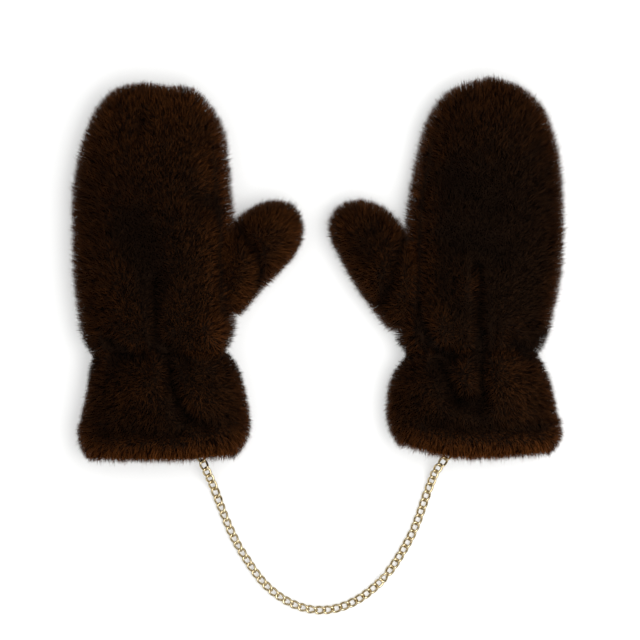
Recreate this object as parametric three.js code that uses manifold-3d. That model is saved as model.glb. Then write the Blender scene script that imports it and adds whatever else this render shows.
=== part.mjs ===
// A pair of short-pile fur mittens joined by a light curb chain, lying flat with the backs of the hands up.
// Millimetres, +Z up. +Y runs from the wrists to the fingertips, and the left-hand mitten lies at -X. Each
// mitten is a back panel, a palm panel, a thumb and a cuff, all hollow, with walls as thick as backing and
// pile. The chain lies on the surface between the hems and is held by a small sewn loop inside each cuff.
import * as THREE from "three";
import { mergeVertices } from "three/addons/utils/BufferGeometryUtils.js";
import Module from "manifold-3d";

const wasm = await Module();
wasm.setup();

// Driving sizes of one mitten
const HAND_LENGTH = 202; // wrist gather to fingertips, pile included
const HAND_WIDTH = 118; // across the knuckles
const CREST_HEIGHT = 24; // widest level of the hand up to its crest
const BELLY_DEPTH = 20; // widest level of hand and cuff down to their underside, before it is pressed flat
const CUFF_LENGTH = 80; // wrist gather to hem
const CUFF_WIDTH = 128;
const CUFF_CREST = 23;
const WRIST_WIDTH = 98; // drawn in by the elastic
const WRIST_CREST = 15.5;
const WRIST_BELLY = 16;
const THUMB_LENGTH = 98; // from its root inside the hand to its tip
const THUMB_WIDTH = 44;
const THUMB_CREST = 19;
const THUMB_BELLY = 18;
const SIDE_WALL = 12; // backing and pile where nothing presses on them
const TOP_WALL = 11;
const UNDER_WALL = 9; // the pile is pressed flat where it rests
const PRESSED_SHARE = 0.95; // of a belly's depth that is left where its pile rests on the surface
const MIDDLE_LEVEL = PRESSED_SHARE * BELLY_DEPTH; // height of the widest line above the surface
const THUMB_LEVEL = PRESSED_SHARE * THUMB_BELLY;
const SEAM_GAP = 0.3; // between pieces that are sewn together
const SEAM_RISE_NEAR = 15; // the side seam runs this high above the widest line along the thumb side
const SEAM_RISE_FAR = -1; // and drops out of sight just below it along the other side
const GATHER_PLEATS = 7; // drawn in round the wrist by the elastic
const GATHER_DEPTH = 1.4;
const GATHER_REACH = 20; // how far the pleats run from the wrist
const CREASE_LIMIT = 0.35; // of the height above the widest line, the most that creases take away

// Driving sizes of the chain
const LINK_PITCH = 6.2;
const CHAIN_WIDTH = 6.5;
const LINK_WIRE = 1.6;
const LINK_TWIST = 1.1; // how far a link's sides rise and dip, which lets a curb chain lie flat
const LINK_FUSE = 0.3; // how far neighbouring links sink into each other where they bear
const CHAIN_DROP = 124; // from the anchors down to the lowest link, seen from above
const CHAIN_INSET = 12; // from the hem in to the anchor
const CHAIN_CLEARANCE = 0.4;
const CHAIN_DESCENT = 26; // from the hem out to where the chain lies on the surface
const ANCHOR_WIRE = 1.5;
const PATCH = { across: 7.5, along: 7.5, thick: 1.2 }; // the sewn patch under the anchor's loop

// How the pair lies
const PAIR_SPACING = 232; // between the two wrist centres
const RIGHT_LEAD = 1.5; // the right-hand mitten lies this much further up

const HAND_SIZES = {
  length: HAND_LENGTH,
  width: HAND_WIDTH,
  crest: CREST_HEIGHT,
  belly: BELLY_DEPTH,
  middle: MIDDLE_LEVEL,
};
const CUFF_SIZES = {
  length: CUFF_LENGTH,
  width: CUFF_WIDTH,
  crest: CUFF_CREST,
  belly: BELLY_DEPTH,
  middle: MIDDLE_LEVEL,
};
const THUMB_SIZES = {
  length: THUMB_LENGTH,
  width: THUMB_WIDTH,
  crest: THUMB_CREST,
  belly: THUMB_BELLY,
  middle: THUMB_LEVEL,
};

// Fineness of the meshes
const RING_POINTS = 26;
const CAVITY_POINTS = 14;
const CAVITY_STATIONS = 5;
const THUMB_POINTS = 14;
const CREST_FULLNESS = 2.3; // exponent of the rounded section above its widest line
const BELLY_FULLNESS = 2.9; // squarer below it, where the mitten lies flat
const LINK_SEGMENTS = 10;
const WIRE_SIDES = 5;

// Sections of the hand, from just past the wrist to the fingertips. along: share of HAND_LENGTH. far and
// near: half widths on the little-finger side and the thumb side, as shares of half HAND_WIDTH. up and
// down: shares of CREST_HEIGHT and BELLY_DEPTH.
const LEFT_HAND = [
  { along: 0.03, far: 0.89, near: 0.87, up: 0.78, down: 0.9 },
  { along: 0.075, far: 0.94, near: 0.93, up: 0.88, down: 1.0 },
  { along: 0.17, far: 0.99, near: 0.96, up: 0.97, down: 1.03 },
  { along: 0.31, far: 1.04, near: 0.95, up: 1.0, down: 1.06 },
  { along: 0.46, far: 1.05, near: 0.95, up: 1.0, down: 1.06 },
  { along: 0.6, far: 1.05, near: 0.9, up: 0.98, down: 1.06 },
  { along: 0.725, far: 0.98, near: 0.86, up: 0.94, down: 1.05 },
  { along: 0.83, far: 0.87, near: 0.8, up: 0.87, down: 1.02 },
  { along: 0.9, far: 0.76, near: 0.67, up: 0.76, down: 0.93 },
  { along: 0.95, far: 0.62, near: 0.53, up: 0.61, down: 0.79 },
  { along: 0.98, far: 0.46, near: 0.39, up: 0.42, down: 0.56 },
  { along: 0.994, far: 0.1, near: -0.1, up: 0, down: 0 },
];
const RIGHT_HAND = [
  { along: 0.026, far: 0.91, near: 0.89, up: 0.78, down: 0.9 },
  { along: 0.07, far: 0.945, near: 0.94, up: 0.88, down: 1.0 },
  { along: 0.16, far: 1.01, near: 0.86, up: 0.97, down: 1.03 },
  { along: 0.295, far: 1.1, near: 0.81, up: 1.0, down: 1.06 },
  { along: 0.455, far: 1.13, near: 0.81, up: 1.0, down: 1.06 },
  { along: 0.593, far: 1.12, near: 0.76, up: 0.98, down: 1.06 },
  { along: 0.718, far: 1.075, near: 0.67, up: 0.94, down: 1.05 },
  { along: 0.821, far: 0.985, near: 0.58, up: 0.87, down: 1.02 },
  { along: 0.894, far: 0.88, near: 0.455, up: 0.76, down: 0.93 },
  { along: 0.945, far: 0.735, near: 0.32, up: 0.61, down: 0.79 },
  { along: 0.978, far: 0.56, near: 0.12, up: 0.42, down: 0.56 },
  { along: 1.005, far: 0.23, near: -0.23, up: 0, down: 0 },
];

// Sections of the cuff, from just below the wrist to the rounded hem. along: share of CUFF_LENGTH. far and
// near: as above, of half CUFF_WIDTH. up and down: shares of CUFF_CREST and BELLY_DEPTH.
const LEFT_CUFF = [
  { along: 0.04, far: 0.765, near: 0.82, up: 0.78, down: 0.9 },
  { along: 0.11, far: 0.775, near: 0.89, up: 0.88, down: 1.0 },
  { along: 0.38, far: 0.815, near: 0.99, up: 0.97, down: 1.05 },
  { along: 0.68, far: 0.89, near: 1.06, up: 1.0, down: 1.05 },
  { along: 0.8, far: 0.93, near: 1.06, up: 1.03, down: 1.05 },
  { along: 0.91, far: 0.9, near: 1.0, up: 0.98, down: 1.02 },
  { along: 0.97, far: 0.86, near: 0.94, up: 0.86, down: 0.92 },
  { along: 1.0, far: 0.81, near: 0.88, up: 0.72, down: 0.76 },
];
const RIGHT_CUFF = [
  { along: 0.04, far: 0.76, near: 0.75, up: 0.78, down: 0.9 },
  { along: 0.11, far: 0.8, near: 0.775, up: 0.88, down: 1.0 },
  { along: 0.38, far: 0.92, near: 0.935, up: 0.97, down: 1.05 },
  { along: 0.68, far: 0.99, near: 0.98, up: 1.0, down: 1.05 },
  { along: 0.8, far: 1.04, near: 0.98, up: 1.03, down: 1.05 },
  { along: 0.91, far: 1.04, near: 0.94, up: 0.98, down: 1.02 },
  { along: 0.97, far: 0.97, near: 0.91, up: 0.86, down: 0.92 },
  { along: 1.0, far: 0.91, near: 0.85, up: 0.72, down: 0.76 },
];

// Sections of the thumb, from its root to its tip. along: share of THUMB_LENGTH. far: the half width
// towards the fingers, near: towards the wrist, as shares of half THUMB_WIDTH. up and down: shares of its
// crest and belly.
const LEFT_THUMB = [
  { along: 0, far: 0.7, near: 0.75, up: 0.45, down: 0.6 },
  { along: 0.13, far: 0.95, near: 0.98, up: 0.68, down: 0.85 },
  { along: 0.3, far: 1.1, near: 0.98, up: 0.88, down: 1.0 },
  { along: 0.46, far: 1.14, near: 1.0, up: 0.98, down: 1.04 },
  { along: 0.62, far: 1.13, near: 1.04, up: 1.0, down: 1.04 },
  { along: 0.76, far: 1.02, near: 1.03, up: 0.97, down: 1.03 },
  { along: 0.86, far: 0.84, near: 0.87, up: 0.86, down: 0.95 },
  { along: 0.93, far: 0.6, near: 0.64, up: 0.66, down: 0.76 },
  { along: 0.975, far: 0.32, near: 0.38, up: 0.4, down: 0.48 },
  { along: 1, far: 0, near: 0, up: 0, down: 0 },
];
const RIGHT_THUMB = [
  { along: 0, far: 0.7, near: 1.3, up: 0.45, down: 0.6 },
  { along: 0.13, far: 0.9, near: 1.4, up: 0.68, down: 0.85 },
  { along: 0.3, far: 1.04, near: 1.36, up: 0.88, down: 1.0 },
  { along: 0.46, far: 1.1, near: 1.27, up: 0.98, down: 1.04 },
  { along: 0.62, far: 1.12, near: 1.14, up: 1.0, down: 1.04 },
  { along: 0.76, far: 1.08, near: 0.97, up: 0.97, down: 1.03 },
  { along: 0.86, far: 0.93, near: 0.84, up: 0.86, down: 0.95 },
  { along: 0.93, far: 0.66, near: 0.67, up: 0.66, down: 0.76 },
  { along: 0.975, far: 0.36, near: 0.42, up: 0.4, down: 0.48 },
  { along: 1, far: 0, near: 0, up: 0, down: 0 },
];

// Creases pressed into the upper side. Each runs from one point to another. across: share of half
// HAND_WIDTH, thumb side positive. along: share of HAND_LENGTH above the wrist, or of CUFF_LENGTH below it
// when negative. depth: share of TOP_WALL. width: share of HAND_WIDTH.
const LEFT_CREASES = [
  { from: { across: -0.03, along: 0.22 }, to: { across: -0.01, along: 0 }, depth: 0.42, width: 0.045 },
  { from: { across: 0.12, along: 0.02 }, to: { across: 0.17, along: -0.3 }, depth: 0.42, width: 0.045 },
  { from: { across: 0.17, along: -0.3 }, to: { across: 0.36, along: -0.56 }, depth: 0.36, width: 0.06 },
  { from: { across: -0.62, along: 0.06 }, to: { across: -0.44, along: 0 }, depth: 0.3, width: 0.045 },
  { from: { across: -0.25, along: 0.42 }, to: { across: -0.05, along: 0.25 }, depth: 0.25, width: 0.14 },
  { from: { across: 0.8, along: 0.86 }, to: { across: 0.85, along: 0.1 }, depth: 0.2, width: 0.035 },
];
const RIGHT_CREASES = [
  { from: { across: -0.06, along: 0.28 }, to: { across: -0.08, along: 0.05 }, depth: 0.36, width: 0.045 },
  { from: { across: -0.08, along: 0.05 }, to: { across: -0.1, along: -0.42 }, depth: 0.42, width: 0.05 },
  { from: { across: 0.6, along: 0.13 }, to: { across: 0.27, along: -0.06 }, depth: 0.36, width: 0.045 },
  { from: { across: 0.37, along: -0.14 }, to: { across: -0.02, along: -0.5 }, depth: 0.36, width: 0.055 },
  { from: { across: -0.5, along: 0.03 }, to: { across: -0.68, along: -0.05 }, depth: 0.28, width: 0.045 },
  { from: { across: 0.3, along: 0.62 }, to: { across: -0.2, along: 0.42 }, depth: 0.2, width: 0.13 },
  { from: { across: 0.56, along: 0.8 }, to: { across: 0.6, along: 0.1 }, depth: 0.24, width: 0.035 },
];

// What sets the two mittens apart. tip: a dip in the fingertip edge, across as in the creases, its width a
// share of HAND_WIDTH and its depth of SIDE_WALL. hem: how far its two corners lie above its middle, as
// shares of CUFF_LENGTH. thumb: where its root lies, as shares of half HAND_WIDTH and of HAND_LENGTH, and
// its angle from the Y axis in degrees. chainAcross: where the anchor lies across the cuff, as a share of
// half CUFF_WIDTH.
const MITTENS = {
  left: {
    hand: LEFT_HAND,
    cuff: LEFT_CUFF,
    creases: LEFT_CREASES,
    tip: { across: 0.085, width: 0.085, depth: 0.3 },
    hem: { nearRise: 0.05, farRise: 0.025 },
    thumb: { sections: LEFT_THUMB, across: 0.593, along: 0.173, angle: 41.5 },
    chainAcross: 0.453,
  },
  right: {
    hand: RIGHT_HAND,
    cuff: RIGHT_CUFF,
    creases: RIGHT_CREASES,
    tip: { across: 0, width: 0.085, depth: 0 },
    hem: { nearRise: 0.225, farRise: 0.075 },
    thumb: { sections: RIGHT_THUMB, across: 0.559, along: 0.163, angle: 41.5 },
    chainAcross: 0.219,
  },
};

// How far the chain is rolled about its own line, in degrees. along: share of its length from the left-hand
// anchor.
const CHAIN_ROLL = [
  { along: 0, roll: 0 },
  { along: 0.08, roll: 0 },
  { along: 0.16, roll: 24 },
  { along: 0.46, roll: 24 },
  { along: 0.58, roll: 4 },
  { along: 0.64, roll: -4 },
  { along: 0.66, roll: 46 },
  { along: 0.68, roll: -6 },
  { along: 0.9, roll: -8 },
  { along: 0.96, roll: 0 },
  { along: 1, roll: 0 },
];

// How far the chain has slid sideways from its catenary. along: as above. drift: share of the span between
// the anchors, towards the right-hand mitten.
const CHAIN_DRIFT = [
  { along: 0, drift: 0 },
  { along: 0.03, drift: 0 },
  { along: 0.1, drift: 0.0065 },
  { along: 0.27, drift: -0.0033 },
  { along: 0.38, drift: -0.0129 },
  { along: 0.66, drift: -0.0137 },
  { along: 0.76, drift: -0.018 },
  { along: 0.9, drift: -0.0319 },
  { along: 0.925, drift: -0.0315 },
  { along: 0.985, drift: 0 },
  { along: 1, drift: 0 },
];

const FUR = new THREE.MeshStandardMaterial({ name: "fur", color: 0x2a180e, roughness: 0.95 });
const GOLD = new THREE.MeshStandardMaterial({ name: "gold", color: 0xd9bf8c, roughness: 0.3, metalness: 1 });
const TAPE = new THREE.MeshStandardMaterial({ name: "tape", color: 0x1c120c, roughness: 0.9 });

// A closed three.js geometry as a manifold-3d solid, and back.
function toSolid(geometry) {
  const bare = geometry.clone().deleteAttribute("normal").deleteAttribute("uv");
  const merged = mergeVertices(bare, 1e-4);
  return new wasm.Manifold(
    new wasm.Mesh({
      numProp: 3,
      vertProperties: merged.attributes.position.array,
      triVerts: new Uint32Array(merged.index.array),
    }),
  );
}

function toGeometry(solid) {
  const mesh = solid.getMesh();
  const geometry = new THREE.BufferGeometry();
  geometry.setAttribute("position", new THREE.BufferAttribute(mesh.vertProperties, 3));
  geometry.setIndex(new THREE.BufferAttribute(mesh.triVerts, 1));
  geometry.computeVertexNormals();
  return geometry;
}

function piece(name, solid, material) {
  const mesh = new THREE.Mesh(toGeometry(solid), material);
  mesh.name = name;
  return mesh;
}

// A closed surface through rings of equally many points. A fan of triangles closes each end about its own
// point.
function loft(rings, startPoint, endPoint) {
  const count = rings[0].length;
  const points = [...rings.flat(), startPoint, endPoint];
  const start = rings.length * count;
  const end = start + 1;
  const faces = [];
  for (let i = 0; i < count; i++) {
    const next = (i + 1) % count;
    for (let ring = 0; ring + 1 < rings.length; ring++) {
      const here = ring * count;
      const above = here + count;
      faces.push(here + i, above + i, above + next, here + i, above + next, here + next);
    }
    const last = (rings.length - 1) * count;
    faces.push(start, i, next, end, last + next, last + i);
  }
  const geometry = new THREE.BufferGeometry().setFromPoints(points);
  geometry.setIndex(faces);
  return geometry;
}

function centreOf(ring) {
  return ring.reduce((sum, point) => sum.add(point), new THREE.Vector3()).divideScalar(ring.length);
}

// One rounded section in the plane y = section.y, flattened where it would pass below the given level.
function sectionRing(section, count, level) {
  const centre = (section.near - section.far) / 2;
  const half = (section.near + section.far) / 2;
  return Array.from({ length: count }, (_, index) => {
    const turn = (2 * Math.PI * index) / count;
    const cosine = Math.cos(turn);
    const sine = Math.sin(turn);
    const power = 2 / (sine >= 0 ? CREST_FULLNESS : BELLY_FULLNESS);
    const reach = sine >= 0 ? section.up : section.down;
    const x = centre + half * Math.sign(cosine) * Math.abs(cosine) ** power;
    const z = section.middle + reach * Math.sign(sine) * Math.abs(sine) ** power;
    return new THREE.Vector3(x, section.y, Math.max(z, level));
  });
}

// Rows of a table as sections in millimetres.
function sectionsOf(rows, sizes) {
  return rows.map((row) => ({
    y: row.along * sizes.length,
    far: (row.far * sizes.width) / 2,
    near: (row.near * sizes.width) / 2,
    up: row.up * sizes.crest,
    down: row.down * sizes.belly,
    middle: sizes.middle,
  }));
}

// Equally spaced sections along a list of them, for a coarser copy of the same form.
function thinned(sections, count) {
  return Array.from({ length: count }, (_, index) => {
    const place = (index * (sections.length - 1)) / (count - 1);
    const low = Math.min(Math.floor(place), sections.length - 2);
    const blend = place - low;
    const mixed = {};
    for (const key of Object.keys(sections[low])) {
      mixed[key] = THREE.MathUtils.lerp(sections[low][key], sections[low + 1][key], blend);
    }
    return mixed;
  });
}

// The same form with a wall taken off all round: narrower by the side wall, lower by the top and under
// walls.
function hollowed(section, sizes) {
  return {
    y: (section.y * (sizes.length - SIDE_WALL)) / sizes.length,
    far: section.far * (1 - (2 * SIDE_WALL) / sizes.width),
    near: section.near * (1 - (2 * SIDE_WALL) / sizes.width),
    up: section.up * (1 - TOP_WALL / sizes.crest),
    down: section.down * (1 - UNDER_WALL / sizes.belly),
    middle: section.middle,
  };
}

function wristSection(y) {
  const half = WRIST_WIDTH / 2;
  return { y, far: half, near: half, up: WRIST_CREST, down: WRIST_BELLY, middle: MIDDLE_LEVEL };
}

// How deep the creases and the gathers press into the upper side at a point of the mitten, in millimetres.
function pressedIn(mitten, point, turn) {
  const spot = new THREE.Vector2(point.x, point.y);
  const place = ({ across, along }) =>
    new THREE.Vector2((across * HAND_WIDTH) / 2, along * (along > 0 ? HAND_LENGTH : CUFF_LENGTH));
  let depth = 0;
  for (const crease of mitten.creases) {
    const start = place(crease.from);
    const run = place(crease.to).sub(start);
    const share = THREE.MathUtils.clamp(spot.clone().sub(start).dot(run) / run.lengthSq(), 0, 1);
    const away = spot.distanceTo(start.addScaledVector(run, share)) / (crease.width * HAND_WIDTH);
    depth += crease.depth * TOP_WALL * Math.exp(-away * away);
  }
  const fromWrist = point.y / GATHER_REACH;
  const gather = GATHER_DEPTH * (1 + Math.cos(GATHER_PLEATS * turn)) * Math.exp(-fromWrist * fromWrist);
  return depth + gather;
}

// Presses the creases into a ring's upper half, fading out towards its widest line and short of the wall's
// inside.
function pressRing(mitten, ring, middle) {
  return ring.map((point, index) => {
    const turn = (2 * Math.PI * index) / ring.length;
    const upper = THREE.MathUtils.smoothstep(Math.sin(turn), 0, 0.5);
    const deepest = CREASE_LIMIT * Math.max(point.z - middle, 0);
    return point.clone().setZ(point.z - Math.min(pressedIn(mitten, point, turn) * upper, deepest));
  });
}

// The hand's outer form, from the wrist to the fingertips, swollen by an amount all round.
function handForm(mitten, swell) {
  const sections = [wristSection(SEAM_GAP / 2), ...sectionsOf(mitten.hand, HAND_SIZES)];
  const grown = sections.map((s) => ({
    ...s,
    far: s.far + swell,
    near: s.near + swell,
    up: s.up + swell,
    down: s.down + swell,
  }));
  const tip = grown.pop();
  const dip = (point) => {
    const away = (point.x - (mitten.tip.across * HAND_WIDTH) / 2) / (mitten.tip.width * HAND_WIDTH);
    const fade = THREE.MathUtils.smoothstep(point.y / HAND_LENGTH, 0.85, 0.97);
    return mitten.tip.depth * SIDE_WALL * Math.exp(-away * away) * fade;
  };
  const rings = grown.map((section) =>
    pressRing(mitten, sectionRing(section, RING_POINTS, -swell), section.middle).map((point) =>
      point.setY(point.y - dip(point)),
    ),
  );
  const end = new THREE.Vector3((tip.near - tip.far) / 2, tip.y + swell, tip.middle);
  return toSolid(loft(rings, centreOf(rings[0]), end.setY(end.y - dip(end))));
}

// The space for the fingers, open past the wrist.
function handCavity(mitten) {
  const outer = [wristSection(0), ...sectionsOf(mitten.hand, HAND_SIZES)];
  const sections = thinned(outer, CAVITY_STATIONS + 1).map((s) => hollowed(s, HAND_SIZES));
  const tip = sections.pop();
  const rings = sections.map((s) => sectionRing(s, CAVITY_POINTS, UNDER_WALL));
  rings.unshift(rings[0].map((point) => point.clone().setY(-SEAM_GAP)));
  const end = new THREE.Vector3((tip.near - tip.far) / 2, tip.y, tip.middle);
  return toSolid(loft(rings, centreOf(rings[0]), end));
}

// The cuff's outer form. Its hem bows down between two raised corners.
function cuffForm(mitten) {
  const sections = [wristSection(SEAM_GAP / 2), ...sectionsOf(mitten.cuff, CUFF_SIZES)];
  const rings = sections.map((section) => {
    const facing = { ...section, y: -section.y };
    return pressRing(mitten, sectionRing(facing, RING_POINTS, 0), section.middle).map((point) =>
      point.setY(point.y + hemRise(mitten, point)),
    );
  });
  rings.reverse();
  return toSolid(loft(rings, centreOf(rings[0]), centreOf(rings[rings.length - 1])));
}

// How far a point of the cuff is lifted towards the wrist: nothing there, and the full rise at the hem.
function hemRise(mitten, point) {
  const share = point.x / (CUFF_WIDTH / 2);
  const rise = share > 0 ? mitten.hem.nearRise : mitten.hem.farRise;
  return rise * CUFF_LENGTH * share * share * THREE.MathUtils.clamp(-point.y / CUFF_LENGTH, 0, 1);
}

// The space inside the cuff: it widens from the wrist to the cuff's widest level, and from there it runs out
// past the hem, flaring over the rounded edge.
function cuffCavity(mitten) {
  const wrist = hollowed(wristSection(0), HAND_SIZES);
  const outer = sectionsOf(mitten.cuff, CUFF_SIZES);
  const widths = outer.map((s) => s.near + s.far);
  const body = outer.slice(0, widths.indexOf(Math.max(...widths)) + 1);
  const inside = thinned(body, CAVITY_STATIONS - 2).map((s) => ({ ...hollowed(s, CUFF_SIZES), y: s.y }));
  const widest = inside[inside.length - 1];
  const flare = {
    ...widest,
    y: CUFF_LENGTH + SIDE_WALL,
    near: widest.near + SIDE_WALL / 2,
    far: widest.far + SIDE_WALL / 2,
  };
  const sections = [{ ...wrist, y: -SEAM_GAP }, wrist, ...inside, flare];
  const rings = sections.map((s) => sectionRing({ ...s, y: -s.y }, CAVITY_POINTS, UNDER_WALL));
  rings.reverse();
  return toSolid(loft(rings, centreOf(rings[0]), centreOf(rings[rings.length - 1])));
}

// The thumb's form along its own axis, turned and moved to its place at the side of the hand.
function thumbForm(mitten, inside) {
  const outer = sectionsOf(mitten.thumb.sections, THUMB_SIZES);
  const space = thinned(outer, CAVITY_STATIONS + 1).map((s) => hollowed(s, THUMB_SIZES));
  const sections = inside ? space : outer;
  const tip = sections.pop();
  const level = inside ? UNDER_WALL : 0;
  const rings = sections.map((s) => sectionRing(s, inside ? CAVITY_POINTS : THUMB_POINTS, level));
  const geometry = loft(rings, centreOf(rings[0]), new THREE.Vector3(0, tip.y, tip.middle));
  geometry.rotateZ(THREE.MathUtils.degToRad(-mitten.thumb.angle));
  geometry.translate((mitten.thumb.across * HAND_WIDTH) / 2, mitten.thumb.along * HAND_LENGTH, 0);
  return toSolid(geometry);
}

// Everything on one side of the side seam, as a slanted block: above it, or below it.
function seamBlock(above) {
  const reach = 2 * HAND_LENGTH;
  const slope = (SEAM_RISE_NEAR - SEAM_RISE_FAR) / HAND_WIDTH;
  const block = new THREE.BoxGeometry(reach, reach, reach);
  block.translate(0, 0, ((above ? 1 : -1) * (reach + SEAM_GAP)) / 2);
  block.rotateY(-Math.atan(slope));
  block.translate(0, 0, MIDDLE_LEVEL + (SEAM_RISE_NEAR + SEAM_RISE_FAR) / 2);
  return toSolid(block);
}

// The chain's line seen from above is a catenary between the two anchors.
const anchorAcross = (mitten) => (mitten.chainAcross * CUFF_WIDTH) / 2;
const LEFT_ANCHOR = new THREE.Vector2(
  anchorAcross(MITTENS.left) - PAIR_SPACING / 2,
  CHAIN_INSET - CUFF_LENGTH,
);
const RIGHT_ANCHOR = new THREE.Vector2(
  PAIR_SPACING / 2 - anchorAcross(MITTENS.right),
  CHAIN_INSET - CUFF_LENGTH + RIGHT_LEAD,
);
const CHAIN_SPAN = RIGHT_ANCHOR.x - LEFT_ANCHOR.x;

// The catenary's parameter for which half the span gives the wanted drop, found by halving an interval.
function catenaryParameter(halfSpan, drop) {
  const widest = 50;
  const halvings = 60;
  let low = halfSpan / widest;
  let high = halfSpan * widest;
  for (let step = 0; step < halvings; step++) {
    const middle = (low + high) / 2;
    const hangs = middle * (Math.cosh(halfSpan / middle) - 1) > drop;
    low = hangs ? middle : low;
    high = hangs ? high : middle;
  }
  return (low + high) / 2;
}

const CATENARY = catenaryParameter(CHAIN_SPAN / 2, CHAIN_DROP);
const LEAN = Math.atan(1 / Math.sinh(CHAIN_SPAN / 2 / CATENARY)); // from the Y axis, at the chain's ends
const LINK_HALF_WIDTH = (CHAIN_WIDTH - LINK_WIRE) / 2;
const PATCH_TOP = UNDER_WALL + SEAM_GAP + PATCH.thick;
const ANCHOR_LEVEL = PATCH_TOP + CHAIN_CLEARANCE + LINK_TWIST + LINK_WIRE / 2;

// A table's value at a share of the chain's length, eased from row to row.
function easedValue(table, key, share) {
  const index = Math.max(1, table.findIndex((row) => row.along >= share));
  const low = table[index - 1];
  const high = table[index];
  const blend = THREE.MathUtils.smoothstep(share, low.along, high.along);
  return THREE.MathUtils.lerp(low[key], high[key], blend);
}

const rollAt = (share) => THREE.MathUtils.degToRad(easedValue(CHAIN_ROLL, "roll", share));
const driftAt = (share) => CHAIN_SPAN * easedValue(CHAIN_DRIFT, "drift", share);

// The chain's line lies just clear of the surface, climbs over each hem and ends level at its anchor.
class ChainLine extends THREE.Curve {
  getPoint(share, target = new THREE.Vector3()) {
    const flat = 2 * CATENARY * Math.sinh(CHAIN_SPAN / 2 / CATENARY);
    const x = CATENARY * Math.asinh(((share - 0.5) * flat) / CATENARY);
    const y = CATENARY * (Math.cosh(x / CATENARY) - 1) - CHAIN_DROP;
    const roll = Math.abs(rollAt(share));
    const halfHeight = LINK_HALF_WIDTH * Math.sin(roll) + LINK_TWIST * Math.cos(roll) + LINK_WIRE / 2;
    const fromEnd = Math.min(share, 1 - share) * flat;
    const descent = THREE.MathUtils.smoothstep(fromEnd, CHAIN_INSET + 2, CHAIN_INSET + CHAIN_DESCENT);
    return target.set(
      (LEFT_ANCHOR.x + RIGHT_ANCHOR.x) / 2 + x + driftAt(share),
      y + THREE.MathUtils.lerp(LEFT_ANCHOR.y, RIGHT_ANCHOR.y, share),
      THREE.MathUtils.lerp(ANCHOR_LEVEL, halfHeight + CHAIN_CLEARANCE, descent),
    );
  }
}

const chainLine = new ChainLine();
chainLine.arcLengthDivisions = 2000;
const LINK_COUNT = Math.round(chainLine.getLength() / LINK_PITCH);
const LINK_SPACING = chainLine.getLength() / LINK_COUNT;
const LINK_REACH = (LINK_SPACING + LINK_WIRE - LINK_FUSE) / 2; // from a link's centre to its end's wire

// A curb link's wire: an oval whose sides rise and dip, so that each link passes through the next and all
// lie flat. Its stations are equal turns apart, with a straight stretch at each end, where it bears on its
// neighbour. The line starts at the end that keeps an edge of the wire on the inner side.
class LinkLine extends THREE.Curve {
  getPoint(share, target = new THREE.Vector3()) {
    const turn = 2 * Math.PI * (share + 0.5 + 0.5 / LINK_SEGMENTS);
    return target.set(
      (LINK_REACH * Math.cos(turn)) / Math.cos(Math.PI / LINK_SEGMENTS),
      LINK_HALF_WIDTH * Math.sin(turn),
      LINK_TWIST * Math.sin(2 * turn),
    );
  }

  getUtoTmapping(share) {
    return share;
  }
}

function chainSolid() {
  const link = new THREE.TubeGeometry(new LinkLine(), LINK_SEGMENTS, LINK_WIRE / 2, WIRE_SIDES, true);
  let chain = null;
  for (let index = 0; index < LINK_COUNT; index++) {
    const share = (index + 0.5) / LINK_COUNT;
    const ahead = chainLine.getTangentAt(share);
    const side = new THREE.Vector3(0, 0, 1).cross(ahead).normalize();
    const up = ahead.clone().cross(side);
    const place = new THREE.Matrix4().makeBasis(ahead, side, up).setPosition(chainLine.getPointAt(share));
    place.multiply(new THREE.Matrix4().makeRotationX(rollAt(chainLine.getUtoTmapping(share))));
    const placed = toSolid(link.clone().applyMatrix4(place));
    chain = chain ? chain.add(placed) : placed;
  }
  return chain;
}

// The sewn loop that holds the chain's end link: a wire arch over the link's end, on a small patch.
function anchorSolid() {
  const endWire = LINK_SPACING / 2 - LINK_REACH; // along the chain, from the anchor's own point
  const halfSpan = LINK_WIRE / 2 + CHAIN_CLEARANCE + ANCHOR_WIRE / 2;
  const top = ANCHOR_LEVEL + halfSpan;
  const foot = PATCH_TOP - PATCH.thick / 2;
  const shoulder = ANCHOR_LEVEL;
  const line = new THREE.CurvePath();
  const at = (along, level) => new THREE.Vector3(0, -(endWire + along), level);
  line.add(new THREE.LineCurve3(at(-halfSpan, foot), at(-halfSpan, shoulder)));
  line.add(new THREE.QuadraticBezierCurve3(at(-halfSpan, shoulder), at(-halfSpan, top), at(0, top)));
  line.add(new THREE.QuadraticBezierCurve3(at(0, top), at(halfSpan, top), at(halfSpan, shoulder)));
  line.add(new THREE.LineCurve3(at(halfSpan, shoulder), at(halfSpan, foot)));
  const wire = new THREE.Shape().absarc(0, 0, ANCHOR_WIRE / 2, 0, 2 * Math.PI);
  const arch = new THREE.ExtrudeGeometry(wire, { steps: 8, extrudePath: line, curveSegments: 3 });
  const patch = new THREE.BoxGeometry(PATCH.across, PATCH.along, PATCH.thick);
  patch.translate(0, -endWire, PATCH_TOP - PATCH.thick / 2);
  return toSolid(arch).add(toSolid(patch));
}

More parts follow.
